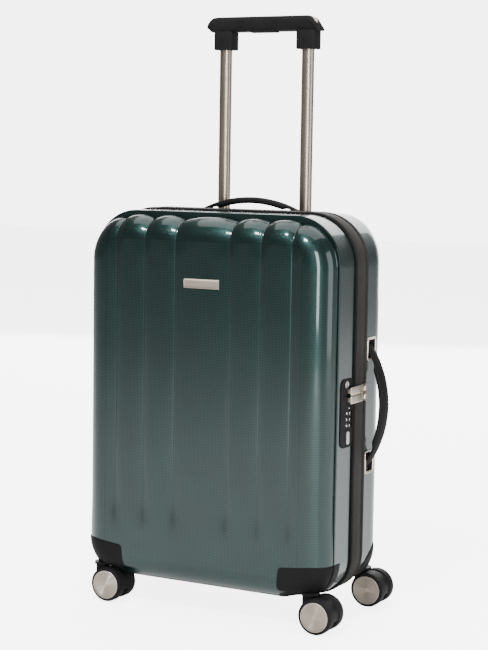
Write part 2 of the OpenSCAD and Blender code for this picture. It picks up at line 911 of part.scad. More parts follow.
// A cloth tray inside a shell, with covers over what stands inside the shell
module lining(margin, y_open, y_back, covers) {
    y0 = min(y_open, y_back);
    y1 = max(y_open, y_back);
    hollow = y_back > y_open ? [y0 - 1, y1 - lining_t] : [y0 + lining_t, y1 + 1];
    difference() {
        union() {
            difference() {
                slab(margin, y0, y1);
                slab(margin - lining_t, hollow[0], hollow[1]);
            }
            intersection() {
                slab(margin, y0, y1);
                union() for (c = covers) block(c[0], c[1]);
            }
        }
        for (c = covers) block(c[0] + lining_t * c[2], c[1] - lining_t * c[3]);
    }
}

module rear_lining() {
    color(cloth) lining(rear_margin, band_rear + 2, tube_y - outer_r - 2, rear_covers);
}

module front_lining() {
    color(cloth) lining(front_margin, -band_front + 1, front_y + 22, front_covers);
}

// Two straps across the rear shell, each with a buckle
module packing_straps() {
    x = half_w + rear_margin - lining_t;
    for (z = strap_z) {
        color(cloth) block([-x, 14, z - 12.5], [x, 15.5, z + 12.5]);
        color(black) block([-24, 11, z - 15], [24, 14, z + 15]);
    }
}

// ---------------------------------------------------------------- pieces

module placed() {
    translate(-origin) children();
}

placed() rear_shell();
placed() rear_rim();
placed() zipper_rear_half();
placed() hinge_spine();
placed() trolley_top_housing();
placed() trolley_outer_tubes();
placed() trolley_foot();
placed() side_handle_bezels();
placed() top_handle_bezels();
placed() handle_backing_plates();
placed() rear_lining();
placed() packing_straps();
placed() rear_fasteners();
placed() front_shell();
placed() front_rim();
placed() zipper_front_half();
placed() front_lining();
placed() badge_plate();
placed() lock_housing();
placed() zip_sliders();
placed() front_fasteners();
placed() key_cylinder();
placed() lock_button();
placed() side_handle_grip();
placed() top_handle_grip();
placed() trolley_middle_tubes();
placed() trolley_inner_tubes();
placed() trolley_grip();
placed() trolley_grip_trim();
placed() trolley_release_button();
placed() front_wheel_housing(FRONT_CASTERS[0]);  // front_left_wheel_housing
placed() front_wheel_housing(FRONT_CASTERS[1]);  // front_right_wheel_housing
placed() rear_wheel_housing(REAR_CASTERS[0]);  // rear_left_wheel_housing
placed() rear_wheel_housing(REAR_CASTERS[1]);  // rear_right_wheel_housing
placed() dial(1);  // dial_upper
placed() dial(0);  // dial_middle
placed() dial(-1);  // dial_lower
placed() zip_puller(slider_z[1]);  // zip_puller_upper
placed() zip_puller(slider_z[0]);  // zip_puller_lower
for (c = concat(FRONT_CASTERS, REAR_CASTERS)) {
    placed() caster_fork(c);
    for (s = [["front", -1], ["rear", 1]]) {
        placed() on_axle(c, s[1]) wheel();
        placed() on_axle(c, s[1]) translate([0, 0, wheel_w - 1.6]) hubcap();
    }
}
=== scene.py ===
"""Looks of a hard shell suitcase with a trolley handle and four casters, around its CAD frame."""
import json
import math

import bmesh
import bpy
import numpy as np
from mathutils import Matrix, Vector, noise


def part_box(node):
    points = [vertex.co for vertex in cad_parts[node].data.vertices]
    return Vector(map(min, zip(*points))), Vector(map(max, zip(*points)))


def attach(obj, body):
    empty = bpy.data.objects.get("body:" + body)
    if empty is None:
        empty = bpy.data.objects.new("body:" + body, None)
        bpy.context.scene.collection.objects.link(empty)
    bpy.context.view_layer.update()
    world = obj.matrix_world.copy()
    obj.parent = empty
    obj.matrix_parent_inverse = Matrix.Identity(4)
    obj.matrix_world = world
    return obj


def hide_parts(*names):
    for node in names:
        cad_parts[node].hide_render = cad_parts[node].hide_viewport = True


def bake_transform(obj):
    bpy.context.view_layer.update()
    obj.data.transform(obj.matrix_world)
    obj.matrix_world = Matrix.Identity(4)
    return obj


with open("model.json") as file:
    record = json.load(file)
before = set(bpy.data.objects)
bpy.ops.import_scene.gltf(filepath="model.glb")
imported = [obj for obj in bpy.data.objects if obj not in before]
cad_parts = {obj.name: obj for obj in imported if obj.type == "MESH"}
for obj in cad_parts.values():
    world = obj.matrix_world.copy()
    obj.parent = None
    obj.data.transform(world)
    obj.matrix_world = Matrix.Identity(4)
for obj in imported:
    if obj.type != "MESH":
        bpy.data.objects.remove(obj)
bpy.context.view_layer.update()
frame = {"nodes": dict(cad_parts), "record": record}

MM = 0.001

# ---------------------------------------------------------------- sizes, in millimetres
# Case frame: x = 0 is the middle of the case, y = 0 the zip line and z = 0 the floor.


def frame_box(node):
    low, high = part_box(node)
    return np.array(low) / MM, np.array(high) / MM


band_low, band_high = frame_box("front_rim")
ORIGIN = np.array([
    (band_low[0] + band_high[0]) / 2,
    (frame_box("zipper_front_half")[1][1] + frame_box("zipper_rear_half")[0][1]) / 2,
    0.0,
])


def case_box(node):
    low, high = frame_box(node)
    return low - ORIGIN, high - ORIGIN


shell_low, shell_high = case_box("front_shell")
rear_low, rear_high = case_box("rear_shell")
rim_low, rim_high = case_box("front_rim")
rear_rim_low, rear_rim_high = case_box("rear_rim")
HALF_W = shell_high[0]
BOTTOM, TOP = shell_low[2], shell_high[2]
FACE_Y, FRONT_EDGE_Y = shell_low[1], shell_high[1]
REAR_EDGE_Y, BACK_Y = rear_low[1], rear_high[1]
BAND_OUT = rim_high[0] - HALF_W

TOP_R, BOTTOM_R = 66.0, 52.0         # corner radii of the case seen from the front
EDGE_R = 32.0                        # rounding of the faces at the top and bottom
FRONT_SIDE_R, REAR_SIDE_R = 35.0, 46.0
WALL = 2.5
STEP_DEPTH = 33.0                    # from the front face to the step behind the flutes
FLUTE_DEPTH = 5.4
FLUTE_EDGES = (0.2196 * HALF_W, 0.4727 * HALF_W, 0.7125 * HALF_W)
GROOVE_DEPTH, GROOVE_HALF = 1.0, 1.6
RIM_DROP, TOP_RIM_DROP = 0.8, 4.4    # the flutes' rim below the land, and how much more at the top
DIMPLE_X, DIMPLE_Z, DIMPLE_DEPTH = 94, 93, 0.8
FADE_Z = (100.0, 150.0)              # where the flutes run out above the wheels

# ---------------------------------------------------------------- camera, lights, floor

CAMERA_AT = (1.1204, -2.0769, 0.6327)
HEADING, PITCH, ROLL = (math.radians(a) for a in (28.33, 5.88, 0.89))
LENS_MM = 94.93
PAPER = (0.93, 0.93, 0.93)
ROOM_LIGHT = 0.24
BACKDROP_LIGHT = 5.6
FLOOR_LIGHT = 0.2
FLOOR_GLOW = 4.8


def add_camera():
    ahead = Vector((
        -math.sin(HEADING) * math.cos(PITCH),
        math.cos(HEADING) * math.cos(PITCH),
        -math.sin(PITCH),
    ))
    right = Vector((math.cos(HEADING), math.sin(HEADING), 0))
    up = right.cross(ahead)
    right, up = (
        right * math.cos(ROLL) + up * math.sin(ROLL),
        up * math.cos(ROLL) - right * math.sin(ROLL),
    )
    camera = bpy.data.objects.new("camera", bpy.data.cameras.new("camera"))
    turn = Matrix((right, up, -ahead)).transposed().to_4x4()
    camera.matrix_world = Matrix.Translation(CAMERA_AT) @ turn
    camera.data.lens = LENS_MM
    camera.data.sensor_width = 36.0
    bpy.context.scene.collection.objects.link(camera)
    bpy.context.scene.camera = camera


def add_softbox(name, at, aim, size, power):
    light = bpy.data.lights.new(name, "AREA")
    light.shape = "RECTANGLE"
    light.size, light.size_y = size
    light.energy = power
    lamp = bpy.data.objects.new(name, light)
    lamp.location = at
    lamp.visible_camera = False
    lamp.rotation_euler = (Vector(aim) - Vector(at)).to_track_quat("-Z", "Y").to_euler()
    bpy.context.scene.collection.objects.link(lamp)


def camera_level(tree, socket, for_light, for_camera):
    """One strength for lighting the object, another for the plain backdrop itself."""
    path = tree.nodes.new("ShaderNodeLightPath")
    level = tree.nodes.new("ShaderNodeMapRange")
    level.inputs["To Min"].default_value = for_light
    level.inputs["To Max"].default_value = for_camera
    tree.links.new(path.outputs["Is Camera Ray"], level.inputs["Value"])
    tree.links.new(level.outputs[0], socket)


def add_studio():
    world = bpy.data.worlds.new("studio")
    world.use_nodes = True
    tree = world.node_tree
    tree.nodes["Background"].inputs["Color"].default_value = (1, 1, 1, 1)
    camera_level(tree, tree.nodes["Background"].inputs["Strength"], ROOM_LIGHT, BACKDROP_LIGHT)
    bpy.context.scene.world = world
    add_softbox("key", (0.1, -1.5, 2.1), (0.0, 0.0, 0.45), (0.5, 0.28), 60)
    add_softbox("right", (1.75, -2.0, 0.95), (0.1, 0.0, 0.3), (0.55, 1.7), 60)
    add_softbox("side", (2.7, 0.5, 0.9), (0.1, 0.0, 0.3), (1.2, 1.8), 26)
    add_softbox("overhead", (0.0, 0.5, 3.0), (0.0, 0.3, 0.0), (3.4, 3.0), 95)
    add_softbox("back", (-1.0, 2.8, 1.35), (0.0, 0.0, 0.6), (3.4, 2.5), 125)
    floor = mesh_object("floor", [(-9, -9, 0), (9, -9, 0), (9, 9, 0), (-9, 9, 0)], [(0, 1, 2, 3)])
    floor.data.materials.append(paper_material())


# ---------------------------------------------------------------- materials


class Nodes:
    """A material's node tree with short calls for the nodes used here."""

    def __init__(self, name):
        self.material = bpy.data.materials.new(name)
        self.material.use_nodes = True
        self.tree = self.material.node_tree
        self.shader = self.tree.nodes["Principled BSDF"]

    def add(self, kind, links=(), **values):
        node = self.tree.nodes.new(kind)
        for key, value in values.items():
            setattr(node, key, value)
        for socket, source in dict(links).items():
            self.feed(node.inputs[socket], source)
        return node

    def feed(self, socket, source):
        if isinstance(source, bpy.types.NodeSocket):
            self.tree.links.new(source, socket)
        elif isinstance(source, bpy.types.Node):
            self.tree.links.new(source.outputs[0], socket)
        else:
            socket.default_value = source

    def place(self):
        return self.add("ShaderNodeTexCoord").outputs["Object"]

    def uv(self):
        return self.add("ShaderNodeTexCoord").outputs["UV"]

    def scaled(self, vector, scale):
        return self.add("ShaderNodeMapping", {"Vector": vector, "Scale": scale})

    def noise(self, vector, scale, detail=4.0):
        return self.add(
            "ShaderNodeTexNoise",
            {"Vector": vector, "Scale": scale, "Detail": detail, "Roughness": 0.55},
        ).outputs["Fac"]

    def wave(self, vector, scale, direction="X", distortion=0.0):
        return self.add(
            "ShaderNodeTexWave",
            {"Vector": vector, "Scale": scale, "Distortion": distortion},
            bands_direction=direction,
        ).outputs["Fac"]

    def math(self, what, a, b=0.0):
        return self.add("ShaderNodeMath", {0: a, 1: b}, operation=what).outputs[0]

    def ramp(self, fac, stops):
        node = self.add("ShaderNodeValToRGB", {"Fac": fac})
        marks = node.color_ramp.elements
        while len(marks) < len(stops):
            marks.new(0.5)
        for mark, (where, colour) in zip(marks, stops):
            mark.position = where
            mark.color = (*colour, 1)
        return node.outputs["Color"]

    def value_range(self, fac, low, high):
        return self.add("ShaderNodeMapRange", {"Value": fac, "To Min": low, "To Max": high}).outputs[0]

    def bump(self, height, distance, strength):
        return self.add(
            "ShaderNodeBump", {"Height": height, "Distance": distance, "Strength": strength}
        ).outputs["Normal"]

    def finish(self, **inputs):
        for key, value in inputs.items():
            self.feed(self.shader.inputs[key.replace("_", " ")], value)
        return self.material


def paper_material():
    n = Nodes("paper")
    fac = n.noise(n.place(), 3.0)
    tone = n.ramp(fac, [(0.3, PAPER), (0.7, tuple(c * 0.985 for c in PAPER))])
    camera_level(n.tree, n.shader.inputs["Emission Strength"], FLOOR_LIGHT, FLOOR_GLOW)
    return n.finish(Base_Color=tone, Roughness=0.9, Emission_Color=(1, 1, 1, 1))


def shell_material():
    """Glossy clear coat over a fine pearly green weave."""
    n = Nodes("woven_shell")
    uv = n.uv()
    weave = n.math("MULTIPLY", n.wave(uv, 0.15, "X"), n.wave(uv, 0.15, "Y"))
    cloudy = n.noise(n.place(), 9.0, 3.0)
    fleck = n.noise(uv, 0.9, 2.0)
    mix = n.math("ADD", n.math("MULTIPLY", weave, 0.45), n.math("MULTIPLY", cloudy, 0.35))
    mix = n.math("ADD", mix, n.math("MULTIPLY", fleck, 0.2))
    colour = n.ramp(mix, [
        (0.12, (0.0042, 0.0142, 0.0138)),
        (0.45, (0.0062, 0.0245, 0.0228)),
        (0.85, (0.018, 0.066, 0.058)),
    ])
    scratch = n.noise(n.scaled(n.place(), (40, 40, 700)), 1.0, 3.0)
    height = n.math("ADD", n.math("MULTIPLY", weave, 0.5), n.math("MULTIPLY", fleck, 0.25))
    return n.finish(
        Base_Color=colour,
        Metallic=0.85,
        Roughness=n.value_range(scratch, 0.30, 0.42),
        Normal=n.bump(height, 0.00013, 0.7),
        Coat_Weight=0.75,
        Coat_Roughness=0.07,
    )


def plastic_material(name, colour, roughness, grain=900.0, depth=0.00008):
    """Moulded plastic or rubber with a fine leathery grain."""
    n = Nodes(name)
    place = n.place()
    fine = n.noise(place, grain, 3.0)
    broad = n.noise(place, 14.0, 3.0)
    light = tuple(min(1.0, c * 1.35 + 0.002) for c in colour)
    return n.finish(
        Base_Color=n.ramp(broad, [(0.3, colour), (0.75, light)]),
        Roughness=n.value_range(fine, roughness - 0.08, roughness + 0.08),
        Normal=n.bump(fine, depth, 0.7),
        Specular_IOR_Level=0.04,
    )


def metal_material(name, colour, roughness, stretch=(900, 900, 12)):
    """Brushed metal, with its lines drawn out along the axis whose scale is small."""
    n = Nodes(name)
    lines = n.noise(n.scaled(n.place(), stretch), 1.0, 3.0)
    dull = tuple(c * 0.82 for c in colour)
    return n.finish(
        Base_Color=n.ramp(lines, [(0.3, dull), (0.7, colour)]),
        Metallic=1.0,
        Roughness=n.value_range(lines, roughness - 0.07, roughness + 0.1),
        Normal=n.bump(lines, 0.00003, 0.5),
    )


def cloth_material(name, colour, pitch=2600.0, sheen=0.35):
    """Woven cloth: crossing threads, with a soft sheen."""
    n = Nodes(name)
    place = n.place()
    threads = n.add("ShaderNodeTexVoronoi", {"Vector": place, "Scale": pitch / 3}).outputs["Distance"]
    warp = n.wave(place, pitch / 6, "DIAGONAL", 1.2)
    weave = n.math("ADD", n.math("MULTIPLY", warp, 0.6), n.math("MULTIPLY", threads, 0.5))
    broad = n.noise(place, 11.0)
    mix = n.math("ADD", n.math("MULTIPLY", weave, 0.5), n.math("MULTIPLY", broad, 0.5))
    dark = tuple(c * 0.6 for c in colour)
    light = tuple(c * 1.3 for c in colour)
    return n.finish(
        Base_Color=n.ramp(mix, [(0.2, dark), (0.5, colour), (0.85, light)]),
        Roughness=0.88,
        Normal=n.bump(weave, 0.0003, 0.8),
        Sheen_Weight=sheen,
    )


def make_materials():
    return {
        "shell": shell_material(),
        "band": plastic_material("band_rubber", (0.019, 0.0176, 0.0162), 0.55, 500.0, 0.0002),
        "zip_tape": cloth_material("zip_tape", (0.016, 0.016, 0.017), 2600.0, 0.2),
        "spine_fabric": cloth_material("spine_fabric", (0.02, 0.02, 0.022)),
        "black_plastic": plastic_material("black_plastic", (0.007, 0.007, 0.0075), 0.5),
        "tube_metal": metal_material("tube_metal", (0.34, 0.29, 0.24), 0.32),
        "tube_outer": metal_material("tube_outer", (0.34, 0.34, 0.35), 0.4),
        "champagne_metal": metal_material("champagne_metal", (0.70, 0.60, 0.51), 0.3, (900, 900, 900)),
        "steel": metal_material("steel", (0.55, 0.55, 0.56), 0.3, (700, 700, 700)),
        "lining_cloth": cloth_material("lining_cloth", (0.045, 0.048, 0.055)),
        "strap_webbing": cloth_material("strap_webbing", (0.02, 0.02, 0.022), 1800.0),
        "dial_plastic": plastic_material("dial_plastic", (0.02, 0.02, 0.021), 0.38),
        "soft_grip": plastic_material("soft_grip", (0.008, 0.008, 0.0085), 0.58, 700.0, 0.00015),
        "button_plastic": plastic_material("button_plastic", (0.008, 0.008, 0.009), 0.4),
        "fork_plastic": plastic_material("fork_plastic", (0.007, 0.007, 0.0075), 0.42),
        "tyre": plastic_material("tyre", (0.008, 0.008, 0.0085), 0.5, 600.0, 0.00012),
        "hubcap_metal": metal_material("hubcap_metal", (0.44, 0.385, 0.33), 0.33, (800, 800, 800)),
        "digit_paint": plastic_material("digit_paint", (0.75, 0.75, 0.73), 0.5),
    }


# ---------------------------------------------------------------- mesh helpers


def to_frame(points):
    return (np.asarray(points, float) + ORIGIN) * MM


def mesh_object(name, points, faces):
    """A new mesh from points in metres."""
    mesh = bpy.data.meshes.new(name)
    mesh.from_pydata(np.asarray(points, float).tolist(), [], [list(f) for f in faces])
    obj = bpy.data.objects.new(name, mesh)
    bpy.context.scene.collection.objects.link(obj)
    return obj


def edited(obj, edit):
    """Opens a mesh for one edit and puts the result back."""
    work = bmesh.new()
    work.from_mesh(obj.data)
    edit(work)
    work.to_mesh(obj.data)
    work.free()


def outward(obj):
    edited(obj, lambda work: bmesh.ops.recalc_face_normals(work, faces=work.faces))


def smooth(obj, angle):
    obj.data.polygons.foreach_set("use_smooth", [True] * len(obj.data.polygons))
    obj.data.set_sharp_from_angle(angle=math.radians(angle))


def mesh_from(name, points, faces):
    """A new object from points in millimetres of the case frame, with its faces outward."""
    obj = mesh_object(name, to_frame(points), faces)
    outward(obj)
    return obj


def piece(name, points, faces, body, slot, replaces=(), angle=38.0, look=None):
    """A finished piece from points in millimetres of the case frame."""
    settle(mesh_from(name, points, faces), body, slot, replaces, angle, look)


def settle(obj, body, slot, replaces=(), angle=38.0, look=None):
    """Gives an object its finish, its body and the CAD nodes that it stands for."""
    obj.data.materials.clear()
    obj.data.materials.append(MATERIALS[look or slot])
    smooth(obj, angle)
    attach(obj, body)
    if replaces:
        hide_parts(*replaces)


def ring_faces(ring_a, ring_b):
    """Faces between two closed rings of point numbers."""
    count = len(ring_a)
    ahead = [(i + 1) % count for i in range(count)]
    return [(ring_a[i], ring_a[j], ring_b[j], ring_b[i]) for i, j in enumerate(ahead)]


def flipped(faces, start):
    """The same faces turned over, on points that come later in the list."""
    return [tuple(start + i for i in reversed(face)) for face in faces]


def grid_faces(across, up, start=0):
    """Faces of a grid of points that is listed column by column."""
    at = lambda i, j: start + i * up + j
    return [
        (at(i, j), at(i + 1, j), at(i + 1, j + 1), at(i, j + 1))
        for i in range(across - 1)
        for j in range(up - 1)
    ]


def grid_border(across, up, start=0):
    """The points round such a grid, in order."""
    at = lambda i, j: start + i * up + j
    return (
        [at(i, 0) for i in range(across - 1)]
        + [at(across - 1, j) for j in range(up - 1)]
        + [at(i, up - 1) for i in range(across - 1, 0, -1)]
        + [at(0, j) for j in range(up - 1, 0, -1)]
    )


def plate_faces(across, up):
    """Faces of a closed plate: a grid, the same grid behind it, and the edge between them."""
    count = across * up
    front, edge = grid_faces(across, up), grid_border(across, up)
    return front + flipped(front, count) + ring_faces(edge, [count + i for i in edge])


def loft(sections, closed_path=False):
    """Points and faces through closed sections that all have the same number of points."""
    sections = [np.asarray(s, float) for s in sections]
    size = len(sections[0])
    rings = [list(range(i * size, (i + 1) * size)) for i in range(len(sections))]
    faces = []
    for i in range(len(rings) if closed_path else len(rings) - 1):
        faces += ring_faces(rings[i], rings[(i + 1) % len(rings)])
    if not closed_path:
        faces += [tuple(reversed(rings[0])), tuple(rings[-1])]
    return np.concatenate(sections), faces


def merged(parts):
    """Several (points, faces) as one."""
    points, faces, start = [], [], 0
    for p, f in parts:
        points.append(np.asarray(p, float))
        faces += [tuple(i + start for i in face) for face in f]
        start += len(p)
    return np.concatenate(points), faces


def round_rect(width, height, radius, steps=6):
    """Points round a rectangle with round corners, centred, anticlockwise."""
    points = []
    for quarter, (sx, sy) in enumerate(((1, 1), (-1, 1), (-1, -1), (1, -1))):
        for i in range(steps + 1):
            a = math.pi / 2 * (quarter + i / steps)
            points.append((
                sx * (width / 2 - radius) + radius * math.cos(a),
                sy * (height / 2 - radius) + radius * math.sin(a),
            ))
    return np.array(points)


def rounded_slab(width, height, depth, radius, edge, steps=4, corner_steps=6):
    """A plate (u, v, w) with round corners and softened edges, from w = 0 to w = depth."""
    angles = np.linspace(0, math.pi / 2, steps)
    bend = [(edge * (1 - math.cos(a)), edge * (1 - math.sin(a))) for a in angles]
    sections = []
    for w, shrink in bend + [(depth - w, shrink) for w, shrink in bend[::-1]]:
        radius_here = max(0.2, radius - shrink)
        flat = round_rect(width - 2 * shrink, height - 2 * shrink, radius_here, corner_steps)
        sections.append(np.column_stack([flat, np.full(len(flat), w)]))
    return loft(sections)


def lathe(profile, axis, centre, segments=64):
    """A closed solid of revolution: profile points are (radius, distance along the axis)."""
    axis = Vector(axis).normalized()
    side = axis.orthogonal().normalized()
    other = axis.cross(side)
    sections = []
    for i in range(segments):
        a = 2 * math.pi * i / segments
        out = np.array(side * math.cos(a) + other * math.sin(a))
        sections.append([np.array(centre) + r * out + h * np.array(axis) for r, h in profile])
    return loft(sections, closed_path=True)


def block(low, high, edge=0.6):
    """A box with softened edges."""
    low, high = np.array(low, float), np.array(high, float)
    size, middle = high - low, (low + high) / 2
    points, faces = rounded_slab(size[0], size[1], size[2], edge + 0.05, edge, 3, 3)
    return points + [middle[0], middle[1], low[2]], faces


def applied(obj):
    """The mesh that an object's modifiers make of it."""
    bpy.context.view_layer.update()
    done = obj.evaluated_get(bpy.context.evaluated_depsgraph_get())
    mesh = bpy.data.meshes.new_from_object(done)
    obj.modifiers.clear()
    return mesh


def boolean(obj, cutter, operation):
    """Applies one boolean between two objects and drops the second."""
    modifier = obj.modifiers.new("cut", "BOOLEAN")
    modifier.operation = operation
    modifier.solver = "EXACT"
    modifier.object = cutter
    obj.data = applied(obj)
    bpy.data.objects.remove(cutter)


# ---------------------------------------------------------------- the case's outline


def spaced(low, high, step, fine=()):
    """Values from low to high, about a step apart, with finer steps near some."""
    values = [low]
    while values[-1] < high - 1e-6:
        near = min((abs(values[-1] - f) for f in fine), default=1e9)
        values.append(values[-1] + (step if near > 8 else max(1.1, step * 0.4)))
    values = np.array(values)
    return low + (values - low) * (high - low) / (values[-1] - low)


class Outline:
    """A closed loop round the case whose points also bound a grid of columns and rows."""

    def __init__(self, step, row_step, fine=()):
        half_top = HALF_W - TOP_R + TOP_R * math.pi / 4
        half_bottom = HALF_W - BOTTOM_R + BOTTOM_R * math.pi / 4
        side = spaced(0.0, half_top, step, fine)
        self.columns = np.concatenate([-side[:0:-1], side])
        flat = HALF_W - TOP_R
        beyond = np.clip(np.abs(self.columns) - flat, 0, None)
        stretch = (half_bottom - flat) / (half_top - flat)
        inner = np.minimum(np.abs(self.columns), flat)
        low_columns = np.sign(self.columns) * (inner + beyond * stretch)
        straight = TOP - TOP_R - BOTTOM - BOTTOM_R
        self.rows = spaced(-BOTTOM_R * math.pi / 4, straight + TOP_R * math.pi / 4, row_step)
        top = self.edge(self.columns, TOP_R, 1)
        bottom = self.edge(low_columns, BOTTOM_R, -1)
        right = self.side(self.rows)
        left = right * [-1, 1, -1, 1]
        self.nx, self.nz = len(self.columns) - 1, len(self.rows) - 1
        self.loop = np.concatenate([bottom[:-1], right[:-1], top[:0:-1], left[:0:-1]])
        self.place, self.normal = self.loop[:, :2], self.loop[:, 2:]

    def edge(self, along, radius, up):
        flat = HALF_W - radius
        a = np.clip(np.abs(along) - flat, 0, None) / radius
        x = np.sign(along) * (np.minimum(np.abs(along), flat) + radius * np.sin(a))
        level = TOP if up > 0 else BOTTOM
        z = level - up * radius * (1 - np.cos(a))
        return np.column_stack([x, z, np.sign(along) * np.sin(a), up * np.cos(a)])

    def side(self, along):
        straight = TOP - TOP_R - BOTTOM - BOTTOM_R
        low = np.clip(-along, 0, None) / BOTTOM_R
        high = np.clip(along - straight, 0, None) / TOP_R
        x = HALF_W - BOTTOM_R * (1 - np.cos(low)) - TOP_R * (1 - np.cos(high))
        z = BOTTOM + BOTTOM_R + np.clip(along, 0, straight)
        z = z - BOTTOM_R * np.sin(low) + TOP_R * np.sin(high)
        return np.column_stack([x, z, np.cos(low) * np.cos(high), np.sin(high) - np.sin(low)])

    def grid(self, border):
        """Fills the loop's inside: (nx + 1, nz + 1, 2) places from its border."""
        nx, nz = self.nx, self.nz
        bottom = border[: nx + 1]
        right = border[nx : nx + nz + 1]
        top = border[nx + nz : 2 * nx + nz + 1][::-1]
        left = np.concatenate([border[2 * nx + nz :], border[:1]])[::-1]
        u = ((self.columns - self.columns[0]) / (self.columns[-1] - self.columns[0]))[:, None, None]
        v = ((self.rows - self.rows[0]) / (self.rows[-1] - self.rows[0]))[None, :, None]
        patch = (1 - v) * bottom[:, None] + v * top[:, None] + (1 - u) * left[None] + u * right[None]
        corners = (1 - u) * (1 - v) * bottom[0] + u * (1 - v) * bottom[-1]
        corners = corners + (1 - u) * v * top[0] + u * v * top[-1]
        return patch - corners

    def border(self, start):
        """The grid's points round the loop, in the loop's order."""
        return grid_border(self.nx + 1, self.nz + 1, start)

    def faces(self, start):
        return grid_faces(self.nx + 1, self.nz + 1, start)


# ---------------------------------------------------------------- shells


def smoothstep(x, low, high):
    t = np.clip((x - low) / (high - low), 0, 1)
    return t * t * (3 - 2 * t)


def valley(x):
    """How far the face lies behind its crests: broad low waves that meet in soft grooves."""
    x = np.abs(x)
    bounds = (-FLUTE_EDGES[0], *FLUTE_EDGES, 2 * (HALF_W - 24) - FLUTE_EDGES[-1])
    drop = np.zeros_like(x)
    for low, high in zip(bounds, bounds[1:]):
        half = (high - low) / 2
        inside = (x >= low) & (x < high)
        across = np.where(inside, np.abs(x - (low + high) / 2) / half, 0)
        drop = np.where(inside, across**2.6, drop)
    return drop * FLUTE_DEPTH


def flute_drop(x, z):
    """How far the face lies behind its front plane at a place on it."""
    soft = sum(valley(x + shift) for shift in np.linspace(-4.2, 4.2, 9)) / 9
    groove = sum(np.exp(-(((np.abs(x) - edge) / GROOVE_HALF) ** 2)) for edge in FLUTE_EDGES)
    share = 0.62 + 0.38 * smoothstep(z, TOP - 60, TOP - 8)
    grooved = GROOVE_DEPTH * smoothstep(z, FADE_Z[0] + 10, FADE_Z[1] + 90)
    dimple = np.exp(-(((np.abs(x) - DIMPLE_X) / 12) ** 2) - ((z - DIMPLE_Z) / 7.5) ** 2)
    return soft * share * smoothstep(z, *FADE_Z) + groove * grooved + DIMPLE_DEPTH * dimple


class Face:
    """The rounded form of one shell: rings from its open edge to its face, then a grid."""

    def __init__(self, outline, face_y, edge_y, side_r, fluted):
        self.outline, self.face_y, self.fluted = outline, face_y, fluted
        self.inward = 1 if edge_y > face_y else -1
        self.depth = abs(edge_y - face_y)
        normal = outline.normal
        self.radius = EDGE_R * normal[:, 1] ** 2 + side_r * normal[:, 0] ** 2
        up = np.clip(normal[:, 1], 0, None)
        self.drop = (RIM_DROP + TOP_RIM_DROP * up) * (1 if fluted else 0)

    def at(self, inset, depth):
        """A ring of points at one inset from the outline and one depth from the face."""
        flat = self.inside(inset)
        y = self.face_y + self.inward * depth
        return np.column_stack([flat[:, 0], np.broadcast_to(y, len(flat)), flat[:, 1]])

    def inside(self, inset):
        return self.outline.place - np.asarray(inset)[:, None] * self.outline.normal

    def flutes(self, flat):
        return flute_drop(flat[:, 0], flat[:, 1]) if self.fluted else np.zeros(len(flat))

    def rings(self, margin):
        """Rings at a margin inside the outer surface, and the grid that closes them."""
        ones = np.ones(len(self.radius))
        back = (STEP_DEPTH if self.fluted else self.radius.max() + 1) + margin
        rings = [
            self.at(margin * ones, ones * (self.depth + (back + 0.5 - self.depth) * share))
            for share in (0, 0.02, 0.25, 0.5, 0.75, 0.93, 1)
        ]
        turn = self.radius - margin
        first = 0 * ones
        if self.fluted:
            rim = margin + self.drop + self.flutes(self.inside(self.drop + 2))
            for inset, depth in (
                (margin + 0.35 * ones, 0), (rim + 1.0, 0), (rim + 1.0, 0.8), (rim + 0.15, 1.5),
            ):
                rings.append(self.at(inset, back * ones - depth))
            first = np.arcsin(np.clip((self.radius - (back - 2.0)) / turn, -0.2, 1))
        for share in np.linspace(0, 1, 13)[:-1]:
            angle = first + (math.pi / 2 - first) * share
            inset = self.drop + self.radius - turn * np.cos(angle)
            fall = self.flutes(self.inside(inset))
            depth = self.radius - turn * np.sin(angle)
            rings.append(self.at(inset + fall * np.cos(angle), depth + fall * np.sin(angle)))
        grid = self.outline.grid(self.inside(self.drop + self.radius)).reshape(-1, 2)
        y = self.face_y + self.inward * (margin + self.flutes(grid))
        return rings, np.column_stack([grid[:, 0], y, grid[:, 1]])

    def skin(self, margin):
        """The surface at a margin as points and faces, with its open edge."""
        rings, face = self.rings(margin)
        size = len(self.radius)
        points = np.concatenate(rings + [face])
        start = len(rings) * size
        loops = [list(range(r * size, (r + 1) * size)) for r in range(len(rings))]
        loops.append(self.outline.border(start))
        faces = [f for a, b in zip(loops, loops[1:]) for f in ring_faces(a, b)]
        return points, faces + self.outline.faces(start), loops[0]

    def solid(self, wall):
        """The closed shell, as points and faces."""
        outer, outer_faces, outer_loop = self.skin(0.0)
        inner, inner_faces, inner_loop = self.skin(wall)
        start = len(outer)
        faces = outer_faces + flipped(inner_faces, start)
        faces += ring_faces(outer_loop, [start + i for i in inner_loop])
        return np.concatenate([outer, inner]), faces

    def lump(self):
        """The shell and its inside as one closed solid."""
        points, faces, loop = self.skin(0.0)
        centre = points[loop].mean(axis=0)
        hub = len(points)
        faces = faces + [(loop[i], hub, loop[(i + 1) % len(loop)]) for i in range(len(loop))]
        return np.concatenate([points, [centre]]), faces


